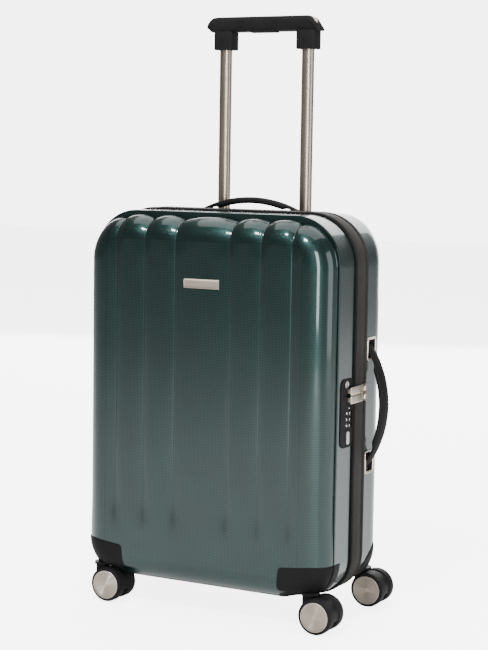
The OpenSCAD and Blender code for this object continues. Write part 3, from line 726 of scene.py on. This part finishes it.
def cover_uv(obj):
    """Lays the weave on the shell: along the face, and round its sides and top."""
    mesh = obj.data
    count = len(mesh.vertices)
    place = np.zeros(count * 3)
    mesh.vertices.foreach_get("co", place)
    place = place.reshape(-1, 3) / MM - ORIGIN
    side = smoothstep(np.abs(place[:, 0]), HALF_W - 40, HALF_W - 12)
    middle, half = (TOP + BOTTOM) / 2, (TOP - BOTTOM) / 2
    level = smoothstep(np.abs(place[:, 2] - middle), half - 36, half - 10)
    u = place[:, 0] + np.sign(place[:, 0]) * side * place[:, 1]
    v = place[:, 2] + np.sign(place[:, 2] - 290) * level * (1 - side) * place[:, 1]
    layer = mesh.uv_layers.get("weave") or mesh.uv_layers.new(name="weave")
    index = np.zeros(len(mesh.loops), int)
    mesh.loops.foreach_get("vertex_index", index)
    layer.data.foreach_set("uv", np.column_stack([u[index], v[index]]).ravel())


# ---------------------------------------------------------------- casters' wells and corner guards

WHEEL_R = (frame_box("wheel_fl_front")[1][2] - frame_box("wheel_fl_front")[0][2]) / 2
TRAIL = 16.0                         # from the swivel axis to the axle
PAIR_HALF = 21.5                     # half the width of a pair of wheels
ROOF_Z = 2 * WHEEL_R + 4
WELL_STEPS = 6
GUARD_PROUD = 1.1
CASTERS = {}
for corner in ("fl", "fr", "rl", "rr"):
    low, high = case_box("caster_fork_" + corner)
    front_hub, rear_hub = case_box(f"hubcap_{corner}_front"), case_box(f"hubcap_{corner}_rear")
    axle_x = (front_hub[0][0] + front_hub[1][0]) / 2
    CASTERS[corner] = {
        "swivel": (axle_x - TRAIL, (low[1] + high[1]) / 2),
        "axle_x": axle_x,
        "faces": (front_hub[0][1], rear_hub[1][1]),
    }


def sweep_reach(z):
    """How far from its swivel axis a pair of wheels reaches at one height."""
    return math.hypot(TRAIL + math.sqrt(max(0.0, WHEEL_R**2 - (z - WHEEL_R) ** 2)), PAIR_HALF)


def well(corner):
    """The space cut for a pair of wheels as it turns, with its housing's wall."""
    margin, low = 3.0, -5.0
    profile = [(0.01, low), (sweep_reach(WHEEL_R) + 2 + margin, low)]
    for i in range(WELL_STEPS + 1):
        z = WHEEL_R * (1 + i / WELL_STEPS)
        profile.append((sweep_reach(z) + 2 + margin, z + margin * i / WELL_STEPS))
    top = ROOF_Z + margin
    profile += [(sweep_reach(2 * WHEEL_R) + 1 + margin, top), (0.01, top)]
    x, y = CASTERS[corner]["swivel"]
    return lathe(profile, (0, 0, 1), (x, y, 0), 72)


def bowl(name, corner, envelope):
    """The well's lining, trimmed to the outside of the shell."""
    gap, low = 0.02, 10.0
    outer = [(sweep_reach(WHEEL_R) + 5, low)]
    inner = [(sweep_reach(WHEEL_R) + 2 + gap, low)]
    for i in range(WELL_STEPS + 1):
        z = WHEEL_R * (1 + i / WELL_STEPS)
        outer.append((sweep_reach(z) + 5, z + 3 * i / WELL_STEPS))
        inner.append((sweep_reach(z) + 2 + gap, z))
    boss_r, boss_top, bore_r = 14.0, 78.0, 5.05
    roof_r = sweep_reach(2 * WHEEL_R) + 1
    outer += [(roof_r + 3, ROOF_Z + 3), (boss_r, ROOF_Z + 3), (boss_r, boss_top), (bore_r, boss_top)]
    inner += [(roof_r, ROOF_Z), (bore_r, ROOF_Z)]
    x, y = CASTERS[corner]["swivel"]
    obj = mesh_from(name, *lathe(outer + inner[::-1], (0, 0, 1), (x, y, 0), 72))
    boolean(obj, mesh_from("trim", *envelope), "INTERSECT")
    return obj


def window(points, radius, steps=5):
    """A convex outline with its corners rounded."""
    points = [Vector(p) for p in points]
    rounded = []
    for i, p in enumerate(points):
        before, after = points[i - 1] - p, points[(i + 1) % len(points)] - p
        before, after = before.normalized(), after.normalized()
        angle = before.angle(after) / 2
        back = radius / math.tan(angle)
        a, b = p + before * back, p + after * back
        for k in range(steps + 1):
            t = k / steps
            rounded.append((1 - t) ** 2 * a + 2 * t * (1 - t) * p + t * t * b)
    return rounded


def clipped(work, planes):
    """Keeps the part of a mesh on the inner side of every plane (point, outward normal)."""
    for point, normal in planes:
        everything = work.verts[:] + work.edges[:] + work.faces[:]
        bmesh.ops.bisect_plane(
            work, geom=everything, plane_co=point, plane_no=normal, clear_outer=True, dist=1e-7
        )


def outline_planes(outline, plane):
    """Planes through each side of a convex outline drawn in (x, z) or in (y, z)."""
    centre = sum(outline, Vector((0, 0))) / len(outline)
    planes = []
    for a, b in zip(outline, outline[1:] + outline[:1]):
        if (b - a).length < 1e-6:
            continue
        out = Vector((b.y - a.y, a.x - b.x)).normalized()
        if out.dot(a - centre) < 0:
            out = -out
        if plane == "xz":
            point, normal = (a.x, 0, a.y), (out.x, 0, out.y)
        else:
            point, normal = (0, a.x, a.y), (0, out.x, out.y)
        planes.append((Vector(to_frame([point])[0]), Vector(normal)))
    return planes


def soften(work):
    """Turns a patch's faces outward and lets its edge fall away."""
    bmesh.ops.remove_doubles(work, verts=work.verts, dist=2e-5)
    bmesh.ops.recalc_face_normals(work, faces=work.faces)
    centre = Vector(to_frame([(0, 0, 290)])[0])
    if sum((f.calc_center_median() - centre).dot(f.normal) for f in work.faces) < 0:
        bmesh.ops.reverse_faces(work, faces=work.faces)
    work.normal_update()
    bmesh.ops.inset_region(work, faces=work.faces, thickness=0.9 * MM, depth=0, use_even_offset=True)
    work.normal_update()
    for vert in {v for e in work.edges if e.is_boundary for v in e.verts}:
        vert.co -= vert.normal * 0.7 * MM


def guard(name, face, planes):
    """A corner guard: a patch of the shell's surface, proud of it, with softened edges."""
    points, faces, _ = face.skin(-GUARD_PROUD)
    obj = mesh_object(name, to_frame(points), faces)
    edited(obj, lambda work: clipped(work, planes))
    edited(obj, soften)
    thick = obj.modifiers.new("thick", "SOLIDIFY")
    thick.thickness, thick.offset = 2 * GUARD_PROUD * MM, -1
    obj.data = applied(obj)
    return obj


# ---------------------------------------------------------------- building


def lock_outline():
    low, high = case_box("lock_housing")
    flat = round_rect(high[1] - low[1], high[2] - low[2], 11, 8)
    return flat + [(low[1] + high[1]) / 2, (low[2] + high[2]) / 2]


def box_mesh(low, high):
    (x0, y0, z0), (x1, y1, z1) = low, high
    return loft([[(x, y0, z0), (x, y1, z0), (x, y1, z1), (x, y0, z1)] for x in (x0, x1)])


def build_shell(kind, face, cutters):
    """A shell with its openings cut out, in place of the CAD's."""
    obj = mesh_from(kind + "_shell_skin", *face.solid(WALL))
    boolean(obj, mesh_from("cutter", *merged(cutters)), "DIFFERENCE")
    cover_uv(obj)
    settle(obj, kind + "_case", "shell", [kind + "_shell"], 42)


def build_shells():
    front = Face(Outline(2.4, 5.0, FLUTE_EDGES), FACE_Y, FRONT_EDGE_Y, FRONT_SIDE_R, True)
    low, high = case_box("lock_housing")
    lock_cut = loft([[(x, y, z) for y, z in lock_outline()] for x in (low[0], high[0] + 10)])
    build_shell("front", front, [well("fl"), well("fr"), lock_cut])
    rear = Face(Outline(7.0, 7.0), BACK_Y, REAR_EDGE_Y, REAR_SIDE_R, False)
    low, high = case_box("trolley_top_housing")
    holes = [(low, high + [0, 40, 40])] + bezel_boxes()
    build_shell("rear", rear, [well("rl"), well("rr")] + [box_mesh(*hole) for hole in holes])
    return front, rear


def bezel_boxes():
    """The four holes that the bezels' sleeves stand in."""
    boxes = []
    low, high = case_box("side_handle_bezels")
    for z0, z1 in ((low[2], low[2] + 32), (high[2] - 32, high[2])):
        boxes.append(((low[0] - 3, low[1] + 1.5, z0 + 2.5), (high[0] + 5, high[1] - 1.5, z1 - 2.5)))
    low, high = case_box("top_handle_bezels")
    for x0, x1 in ((low[0], low[0] + 32), (high[0] - 32, high[0])):
        boxes.append(((x0 + 2.5, low[1] + 1.5, low[2] - 3), (x1 - 2.5, high[1] - 1.5, high[2] + 5)))
    return boxes


def build_guards(front, rear):
    """The corner guards, and the lined wells behind them."""
    front_outline = [(119, 50), (122.8, 83.2), (168, 88), (230, 84.5), (230, 50)]
    rear_outline = [(20, 50), (20, 66), (30, 78), (49, 92.5), (140, 92.5), (140, 50)]
    for kind, face in (("front", front), ("rear", rear)):
        for side, hand in ((-1, "left"), (1, "right")):
            corner = kind[0] + hand[0]
            if kind == "front":
                planes = outline_planes(window([(side * x, z) for x, z in front_outline], 6.0), "xz")
                place, out = (0, -59.5, 0), (0, 1, 0)
            else:
                planes = outline_planes(window(rear_outline, 6.0), "yz")
                place, out = (side * 104.0, 0, 0), (-side, 0, 0)
            planes.append((Vector(to_frame([place])[0]), Vector(out)))
            settle(guard(f"{kind}_guard_{corner}", face, planes), kind + "_case", "black_plastic")
            lined = bowl(f"{kind}_well_{corner}", corner, face.lump())
            settle(lined, kind + "_case", "black_plastic", [f"{kind}_{hand}_wheel_housing"])


def swept_round(outline, profile):
    """A profile of (out, y) points carried round the case's outline."""
    return loft([
        [(place[0] + out * normal[0], y, place[1] + out * normal[1]) for out, y in profile]
        for place, normal in zip(outline.place, outline.normal)
    ], closed_path=True)


def band_profile(y0, y1, out, edge=1.0):
    arc = [(math.sin(a), math.cos(a)) for a in np.linspace(0, math.pi / 2, 5)]
    points = [(-2.0, y0)]
    points += [(out - edge + edge * s, y0 + edge - edge * c) for s, c in arc]
    points += [(out - edge + edge * s, y1 - edge + edge * c) for s, c in arc[::-1]]
    return points + [(-2.0, y1)]


def build_band(outline):
    bead_y, bead_r = rim_low[1] + 1.5, 1.7
    band = band_profile(bead_y + bead_r, rim_high[1] - 0.2, BAND_OUT - 0.2, 1.2)
    piece("front_band", *swept_round(outline, band), "front_case", "band", ["front_rim"])
    bead = [
        (BAND_OUT - bead_r + bead_r * math.cos(a), bead_y + 1.5 * math.sin(a))
        for a in np.linspace(-2.2, 2.2, 9)
    ]
    bead = swept_round(outline, [(-1.9, bead_y - 1.4)] + bead + [(-1.9, bead_y + 1.4)])
    piece("front_piping", *bead, "front_case", "band", (), 50, "soft_grip")
    band = band_profile(rear_rim_low[1] + 0.1, rear_rim_high[1], BAND_OUT, 1.2)
    piece("rear_band", *swept_round(outline, band), "rear_case", "band", ["rear_rim"])
    for kind, toward in (("front", 1), ("rear", -1)):
        node = f"zipper_{kind}_half"
        low, high = case_box(node)
        middle = (low[1] + high[1]) / 2
        tape = swept_round(outline, [
            (-1.5, low[1]), (BAND_OUT - 1.5, low[1]), (BAND_OUT - 1.3, middle),
            (BAND_OUT - 1.5, high[1]), (-1.5, high[1]),
        ])
        teeth = zip_teeth(outline, middle + toward * 0.25, toward)
        piece(kind + "_zip_tape", *tape, kind + "_case", "zip_tape", [node])
        piece(kind + "_zip_coil", *teeth, kind + "_case", "zip_tape", (), 60, "button_plastic")


def zip_teeth(outline, y, toward, pitch=2.4):
    """The coil's small humps along one side of the zip line."""
    place = outline.place
    steps = np.linalg.norm(np.roll(place, -1, axis=0) - place, axis=1)
    along = np.concatenate([[0], np.cumsum(steps)])
    count = int(along[-1] / pitch)
    loop = np.vstack([outline.loop, outline.loop[:1]])
    foot, top = BAND_OUT * 0.4, BAND_OUT - 0.75
    parts = []
    for i in range(count):
        s = (i + (0.5 if toward > 0 else 0)) * along[-1] / count
        x, z, nx, nz = (np.interp(s, along, loop[:, c]) for c in range(4))
        parts.append(loft([
            [
                (x + out * nx - width * a * nz, y + depth * b, z + out * nz + width * a * nx)
                for a, b in ((-0.62, -0.85), (0.62, -0.85), (0.62, 0.85), (-0.62, 0.85))
            ]
            for out, width, depth in ((foot, 1.0, 1.0), (top, 0.6, 0.75))
        ]))
    return merged(parts)


# ---------------------------------------------------------------- small pieces


def build_hubcaps():
    """Turned metal caps: a thin rim, fine concentric rings and a low centre."""
    low, high = frame_box("hubcap_fl_front")
    outer_r = (high[2] - low[2]) / 2
    profile = [(0.01, -2.1), (outer_r, -2.1), (outer_r, -0.5), (outer_r - 0.4, -0.1)]
    profile += [(outer_r - 1.3, 0.0), (outer_r - 1.9, -0.25), (outer_r - 2.3, -0.95)]
    for r in np.arange(outer_r - 3.0, 4.4, -1.35):
        profile += [(r, -0.95), (r - 0.3, -0.6), (r - 0.85, -0.6), (r - 1.15, -0.95)]
    profile += [(3.6, -0.9), (3.2, -0.5), (1.2, -0.4), (0.01, -0.38)]
    for corner, caster in CASTERS.items():
        for side, end, y in zip((-1, 1), ("front", "rear"), caster["faces"]):
            cap = lathe(profile, (0, side, 0), (caster["axle_x"], y, WHEEL_R), 72)
            wheel = f"{corner}_{end}"
            name, node = "hubcap_turned_" + wheel, "hubcap_" + wheel
            piece(name, *cap, "wheel_" + wheel, "hubcap_metal", [node], 30)


def grip_sections(reach, rise, width):
    """Sections (u, v, w) of a carry grip, from one pocket over its arch into the other."""
    strap, padding, sleeve_half = 5.0, 3.8, 58
    crest = rise - strap / 2
    radius = (reach**2 + crest**2) / (2 * crest)
    centre = crest - radius
    end = math.acos((-4 - centre) / radius)
    path = [(-end, -10.0), (-end, -7.0)]
    path += [(a, 0.0) for a in np.linspace(-end, end, 61)] + [(end, -7.0), (end, -10.0)]
    flat = round_rect(1.0, 1.0, 0.42, 4)
    sections = []
    for angle, fall in path:
        u, v = radius * math.sin(angle), centre + radius * math.cos(angle) + fall
        lean = angle if fall == 0 else math.copysign(math.pi / 2 - 0.2, angle)
        middle = float(smoothstep(sleeve_half - abs(u), 0, 8))
        seam = math.exp(-((abs(u) - sleeve_half - 3) / 1.1) ** 2)
        thick = strap + padding * middle - 0.7 * seam
        wide = width + 2.6 * middle - 0.4 * seam - 1.2 * (1 - middle)
        inset = (thick - strap) / 2
        across = [(a * thick - inset, b * wide) for a, b in flat]
        sections.append([(u + a * math.sin(lean), v + a * math.cos(lean), b) for a, b in across])
    return sections


def pocket_ring(length, width, flange, height, deep, wall=0.9):
    """A bezel (u, v, w): a softened flange round an opening, and a sleeve below it."""
    loops = []
    for grow, v in (
        (flange, 0.0), (flange, height - 0.6), (flange - 0.5, height), (0.7, height),
        (0.0, height - 0.7), (0.0, -deep), (wall, -deep), (wall, 0.0),
    ):
        flat = round_rect(length + 2 * grow, width + 2 * grow, 2.2 + grow, 5)
        loops.append(np.column_stack([flat[:, 0], np.full(len(flat), v), flat[:, 1]]))
    return loft(loops, closed_path=True)


def build_handles():
    for kind, reach in (("side", 76.0), ("top", 74.0)):
        grip = kind + "_handle_grip"
        low, high = case_box(grip)
        middle = (low + high) / 2
        if kind == "side":
            base, order, axis = (HALF_W, middle[1], middle[2]), (1, 2, 0), 2
            rise = high[0] - HALF_W
        else:
            base, order, axis = (middle[0], middle[1], TOP), (0, 2, 1), 0
            rise = high[2] - TOP
        place = lambda p: np.array(base) + p[:, order]
        width = high[1] - low[1]
        points, faces = loft(grip_sections(reach, rise, width))
        piece(kind + "_grip_strap", place(points), faces, kind + "_handle", "soft_grip", [grip], 50)
        bezels = kind + "_handle_bezels"
        low, high = case_box(bezels)
        shift = (high[axis] - low[axis]) / 2 - 16
        frames = pocket_ring(24.6, width + 1.6, 3.4, 1.7, 4.6)
        pockets = pocket_ring(23.8, width + 0.8, 0.35, 0.5, 7.5, 0.3)
        for name, slot, replaced, (points, faces) in (
            ("_bezel_frames", "champagne_metal", [bezels], frames),
            ("_bezel_pockets", "black_plastic", (), pockets),
        ):
            pair = [(place(points + [s * shift, 0, 0]), faces) for s in (-1, 1)]
            piece(kind + name, *merged(pair), "rear_case", slot, replaced, 45)


def build_badge():
    """A blank plate with a raised edge, bent to the middle flute."""
    low, high = case_box("badge_plate")
    half = (high - low) / 2
    mid_z = (low[2] + high[2]) / 2
    rim = np.array((0.0, 0.25, 0.6, 1.0, 1.4, 1.8))
    across, up = (
        np.concatenate([rim - edge, np.linspace(inner - edge, edge - inner, count), edge - rim[::-1]])
        for edge, inner, count in ((half[0], 4, 30), (half[2], 3, 5))
    )
    x, z = np.meshgrid(across, up, indexing="ij")
    border = np.minimum(half[0] - np.abs(x), half[2] - np.abs(z))
    proud = 0.6 + 0.7 * smoothstep(border, 0, 0.6) - 0.35 * smoothstep(border, 1.0, 1.5)
    base = FACE_Y + flute_drop(x, z + mid_z)
    sides = [
        np.column_stack([x.ravel(), y.ravel(), (z + mid_z).ravel()]) for y in (base - proud, base + 1.0)
    ]
    plate = np.concatenate(sides), plate_faces(len(across), len(up))
    piece("badge_blank", *plate, "front_case", "champagne_metal", ["badge_plate"], 40)


def build_pullers():
    """Two ribbed pulls, each with a knuckle round its pin and a hook for the lock."""
    for name in ("zip_puller_upper", "zip_puller_lower"):
        low, high = case_box(name)
        z = (low[2] + high[2]) / 2
        pin_x, pin_y = high[0] - 2.0, high[1] - 2.0
        tip_y, wide_y = low[1], pin_y - 6
        points, faces = rounded_slab(wide_y - tip_y, high[2] - low[2], 2.0, 2.5, 0.5)
        parts = [(np.column_stack([
            pin_x - 1 + points[:, 2], (tip_y + wide_y) / 2 + points[:, 0], z + points[:, 1],
        ]), faces)]
        ribs = [(0.9, 1.35, tip_y + 4, wide_y - 3, z + rib, 0.45, 0.2) for rib in np.linspace(-3.3, 3.3, 5)]
        neck = (-0.9, 0.9, wide_y - 1, pin_y - 0.6, z, 3, 0.4)
        hook = (-6.8, -0.8, tip_y + 0.6, tip_y + 3.4, z, 2.9, 0.4)
        for x0, x1, y0, y1, mid, half, edge in ribs + [neck, hook]:
            parts.append(block((pin_x + x0, y0, mid - half), (pin_x + x1, y1, mid + half), edge))
        knuckle = [(0.97, -3), (1.7, -3), (2.0, -2.7), (2.0, 2.7), (1.7, 3), (0.97, 3)]
        parts.append(lathe(knuckle, (0, 0, 1), (pin_x, pin_y, z), 24))
        shown = name.replace("zip_puller", "pull_ribbed")
        piece(shown, *merged(parts), name, "champagne_metal", [name], 35)


def build_digits():
    """The numbers round the three dials, bent onto them."""
    for dial in ("upper", "middle", "lower"):
        low, high = case_box("dial_" + dial)
        centre, radius = (low + high) / 2, (high[0] - low[0]) / 2
        parts = []
        for number in range(10):
            curve = bpy.data.curves.new("digit", "FONT")
            curve.body, curve.size = str(number), 1.0
            curve.align_x, curve.align_y = "CENTER", "CENTER"
            curve.extrude = 0.03
            text = bpy.data.objects.new("digit", curve)
            bpy.context.scene.collection.objects.link(text)
            mesh = applied(text)
            bpy.data.objects.remove(text)
            flat = np.array([v.co for v in mesh.vertices])
            faces = [tuple(p.vertices) for p in mesh.polygons]
            angle = math.radians(36 * number) + flat[:, 0] * 4.3 / radius
            r = radius - 0.02 + (flat[:, 2] > 0) * 0.08
            bent = np.column_stack([r * np.cos(angle), r * np.sin(angle), flat[:, 1] * 4.6])
            parts.append((centre + bent, faces))
        piece("digits_" + dial, *merged(parts), "dial_" + dial, "dial_plastic", (), 60, "digit_paint")


def build_lock_details():
    """A ring round the key cylinder and an index dot beside the dials."""
    x = case_box("lock_housing")[1][0]
    low, high = case_box("key_cylinder")
    ring = [(4.2, -0.5), (5.1, -0.5), (5.1, 0.2), (4.8, 0.45), (4.4, 0.45), (4.2, 0.2)]
    ring = lathe(ring, (1, 0, 0), (x, (low[1] + high[1]) / 2, (low[2] + high[2]) / 2), 40)
    piece("key_ring", *ring, "front_case", "champagne_metal", (), 40)
    low, high = case_box("dial_upper")
    dot = [(0.01, -0.5), (0.9, -0.5), (0.9, 0.1), (0.6, 0.25), (0.01, 0.28)]
    dot = lathe(dot, (1, 0, 0), (x, (low[1] + high[1]) / 2, high[2] + 4.0), 20)
    piece("dial_index", *dot, "front_case", "dial_plastic", (), 40, "digit_paint")


GRIP_LEAN, GRIP_HEIGHT, GRIP_END_R = 11.0, 19, 14


def grip_stations(half, first, count):
    """Places along the trolley grip, closer together round its two ends."""
    bend = GRIP_END_R * (1 - np.cos(np.linspace(first, math.pi / 2, 12)))
    inner = half - GRIP_END_R - 2
    return np.concatenate([bend - half, np.linspace(-inner, inner, count), half - bend[::-1]])


def grip_top(x, half):
    """Height of the trolley grip above its underside: flat, with round outer corners."""
    fall = np.clip(abs(x) - (half - GRIP_END_R), 0, GRIP_END_R)
    return GRIP_HEIGHT - (GRIP_END_R - math.sqrt(max(0.0, GRIP_END_R**2 - fall**2)))


def build_trolley_grip():
    low, high = case_box("trolley_grip")
    half, under, ferrule_z = high[0], high[2] - GRIP_HEIGHT, low[2]
    tube_low, tube_high = case_box("trolley_inner_tubes")
    tube_x, tube_y = tube_high[0] - 8.7, (tube_low[1] + tube_high[1]) / 2
    lean = GRIP_LEAN
    sections = []
    for x in grip_stations(half, 0.12, 22):
        top = grip_top(x, half)
        outline = [
            (-11.6, -0.4), (-9.5, -1.0), (9.5, -1.0), (11.6, -0.4), (12, 1.5),
            (12, 4.5 * top / GRIP_HEIGHT), (12 - 0.55 * lean, 0.62 * top), (13 - lean, 0.86 * top),
            (11 - lean, 0.96 * top), (8 - lean, top), (-6.5 - lean, top), (-9.6 - lean, 0.97 * top),
            (-11.4 - lean, 0.86 * top), (-12 - lean, 0.72 * top), (-12 - 0.9 * lean, 0.58 * top),
            (-12.3 - 0.2 * lean, 0.12 * top + 0.6),
        ]
        sections.append([(x, tube_y + y, under + z) for y, z in outline])
    parts, plugs = [loft(sections)], []
    ferrule = rounded_slab(30, 24, under - ferrule_z + 1, 5, 0.9)
    plug = [(0.01, -0.4), (3.2, -0.4), (3.2, 0.2), (2.8, 0.5), (0.01, 0.55)]
    for x in (-tube_x, tube_x):
        parts.append((ferrule[0] + [x, tube_y, ferrule_z], ferrule[1]))
        plugs.append(lathe(plug, (0, -1, 0), (x, tube_y - 12, ferrule_z + 14), 32))
    piece("trolley_grip_body", *merged(parts), "trolley_handle", "soft_grip", ["trolley_grip"], 40)
    piece("trolley_screw_plugs", *merged(plugs), "trolley_handle", "black_plastic")
    strip = [(-3.6, -0.8), (-3.4, 0.25), (-2.9, 0.45), (2.1, 0.45), (2.6, 0.25), (2.8, -0.8)]
    trim = loft([
        [(x, tube_y - lean + y, under + grip_top(x, half) + z) for y, z in strip]
        for x in grip_stations(half, 0.3, 16)
    ])
    piece("trolley_trim_strip", *trim, "trolley_handle", "champagne_metal", ["trolley_grip_trim"], 40)


# ---------------------------------------------------------------- cloth, straps and the hinge strip


def pushed(point, inward, boxes):
    """Moves a point of the cloth off the boxes that it covers."""
    move = 0.0
    for low, high in boxes:
        inside = 1.0
        for axis in range(3):
            if abs(inward[axis]) < 0.5:
                within = min(point[axis] - low[axis], high[axis] - point[axis])
                inside *= float(smoothstep(within + 7, 0, 7))
            elif not low[axis] - 1 <= point[axis] <= high[axis] + 1:
                inside = 0.0
        if inside > 0:
            far = [
                ((high if inward[a] > 0 else low)[a] - point[a]) / inward[a]
                for a in range(3) if abs(inward[a]) > 0.08
            ]
            move = max(move, inside * max(0.0, min(far)))
    return point + inward * move


def both(boxes):
    """The same boxes on the left and on the right."""
    out = []
    for low, high in boxes:
        out.append((np.array(low), np.array(high)))
        out.append((np.array([-high[0], low[1], low[2]]), np.array([-low[0], high[1], high[2]])))
    return out


HEM_R = 1.3
LINING_NAMES = ("_lining_tray", "_lining", "_case", "_shell_skin")


def build_lining(kind, margin, boxes):
    """A sewn cloth tray that follows the inside of a shell and covers what stands in it."""
    name, node, body, shell = (kind + end for end in LINING_NAMES)
    low, high = case_box(node)
    edge_y, back_y = (high[1], low[1]) if kind == "front" else (low[1], high[1])
    inward_y = np.sign(edge_y - back_y)
    bend_r = 8
    form = Outline(8.0, 8.0)
    inset = form.place - margin * form.normal
    fall = back_y + bend_r * inward_y - edge_y
    steps = [(0.0, edge_y + fall * t, 0.0) for t in np.linspace(0, 1, 9)]
    steps += [
        (bend_r * (1 - math.cos(a)), back_y + inward_y * bend_r * (1 - math.sin(a)), a)
        for a in np.linspace(0.3, 1.35, 4)
    ]
    points = []
    for shrink, y, angle in steps:
        for place, normal in zip(inset - shrink * form.normal, form.normal):
            inward = -normal * math.cos(angle)
            inward = np.array([inward[0], inward_y * math.sin(angle), inward[1]])
            points.append(pushed(np.array([place[0], y, place[1]]), inward, boxes))
    for x, z in form.grid(inset - bend_r * form.normal).reshape(-1, 2):
        points.append(pushed(np.array([x, back_y, z]), np.array([0, inward_y, 0.0]), boxes))
    points, size = np.array(points), len(inset)
    start = len(steps) * size
    loops = [list(range(r * size, (r + 1) * size)) for r in range(len(steps))] + [form.border(start)]
    faces = [f for a, b in zip(loops, loops[1:]) for f in ring_faces(a, b)] + form.faces(start)
    for i in range(size, len(points)):
        here = Vector(points[i] * 0.02)
        fold = noise.noise(here) + 0.6 * noise.noise(here * 2.7)
        points[i][1] += inward_y * (0.7 + 0.9 * fold)
    obj = mesh_from(name, points, faces)
    thick = obj.modifiers.new("thick", "SOLIDIFY")
    thick.thickness, thick.offset = 1.0 * MM, 0
    rounder = obj.modifiers.new("rounder", "SUBSURF")
    rounder.levels = rounder.render_levels = 1
    obj.data = applied(obj)
    settle(obj, body, "lining_cloth", [node], 80)
    turns = np.linspace(0, 2 * math.pi, 9)[:-1]
    hem = [(HEM_R * math.cos(a) - margin, edge_y + HEM_R * math.sin(a)) for a in turns]
    piece(name + "_hem", *swept_round(form, hem), body, "strap_webbing", (), 60)


def build_straps():
    low, high = case_box("packing_straps")
    ribbons, buckles = [], []
    section = [(-0.75, -12.5), (0.75, -12.5), (0.95, 0), (0.75, 12.5), (-0.75, 12.5), (-0.55, 0)]
    for z in (low[2] + 15, high[2] - 15):
        sections = []
        for t in np.linspace(-1, 1, 60):
            y = high[1] - 0.75 + 0.5 * math.cos(9 * t) * (1 - t * t)
            dip = -1.6 * (1 - t * t)
            sections.append([(t * high[0], y + a, z + b + dip) for a, b in section])
        ribbons.append(loft(sections))
        plate = rounded_slab(48, 30, 2.6, 5, 0.8)
        bar = rounded_slab(30, 16, 1.4, 3, 0.5)
        for (points, faces), y in ((plate, high[1] - 1.6), (bar, high[1] - 3.9)):
            points = np.column_stack([points[:, 0], y - points[:, 2], z - 1.6 + points[:, 1]])
            buckles.append((points, faces))
    piece("packing_straps_web", *merged(ribbons), "rear_case", "strap_webbing", ["packing_straps"], 50)
    piece("packing_strap_buckles", *merged(buckles), "rear_case", "button_plastic", (), 40)


def build_spine():
    """The cloth strip inside the left edge, as a flat thin plate."""
    low, high = case_box("hinge_spine")
    across, up = np.linspace(low[1], high[1], 16), np.linspace(low[2], high[2], 40)
    x = (low[0] + high[0]) / 2
    points = [(side, y, z) for side in (x - 0.5, x + 0.5) for y in across for z in up]
    obj = mesh_from("spine_strip", points, plate_faces(len(across), len(up)))
    obj.data.materials.append(MATERIALS["spine_fabric"])
    smooth(obj, 50)
    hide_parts("hinge_spine")
    start, end = to_frame([(x, low[1] + 1, 0), (x, high[1] - 1, 0)])
    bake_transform(obj)


MATERIALS = make_materials()
add_camera()
add_studio()

front_face, rear_face = build_shells()
build_guards(front_face, rear_face)
build_band(Outline(9.0, 9.0))

build_hubcaps()
build_handles()
build_badge()
build_pullers()
build_digits()
build_lock_details()
build_trolley_grip()
# Boxes of what stands inside each half: wheel housings, handle plates, lock and trolley housing.
build_lining("rear", 9.0, both([
    ((109, 19, 20), (200, 90, 61)),
    ((71, 17, 522), (93, 40, 560)),
]) + [
    (np.array([166.5, 12.5, 192]), np.array([188.5, 40.5, 384])),
    (np.array([-97, 36, 491]), np.array([97, 100, 560])),
])
build_lining("front", 12.0, both([
    ((109, -120, 20), (200, -38, 61)),
    ((144, -120, 20), (200, -60, 83)),
]) + [(np.array([165, -72, 236]), np.array([200, -20, 338]))])
build_straps()
build_spine()

for part in frame["record"]["subparts"]:
    node = frame["nodes"][part["node"]]
    node.data.materials.clear()
    node.data.materials.append(MATERIALS[part["material_slot"]])
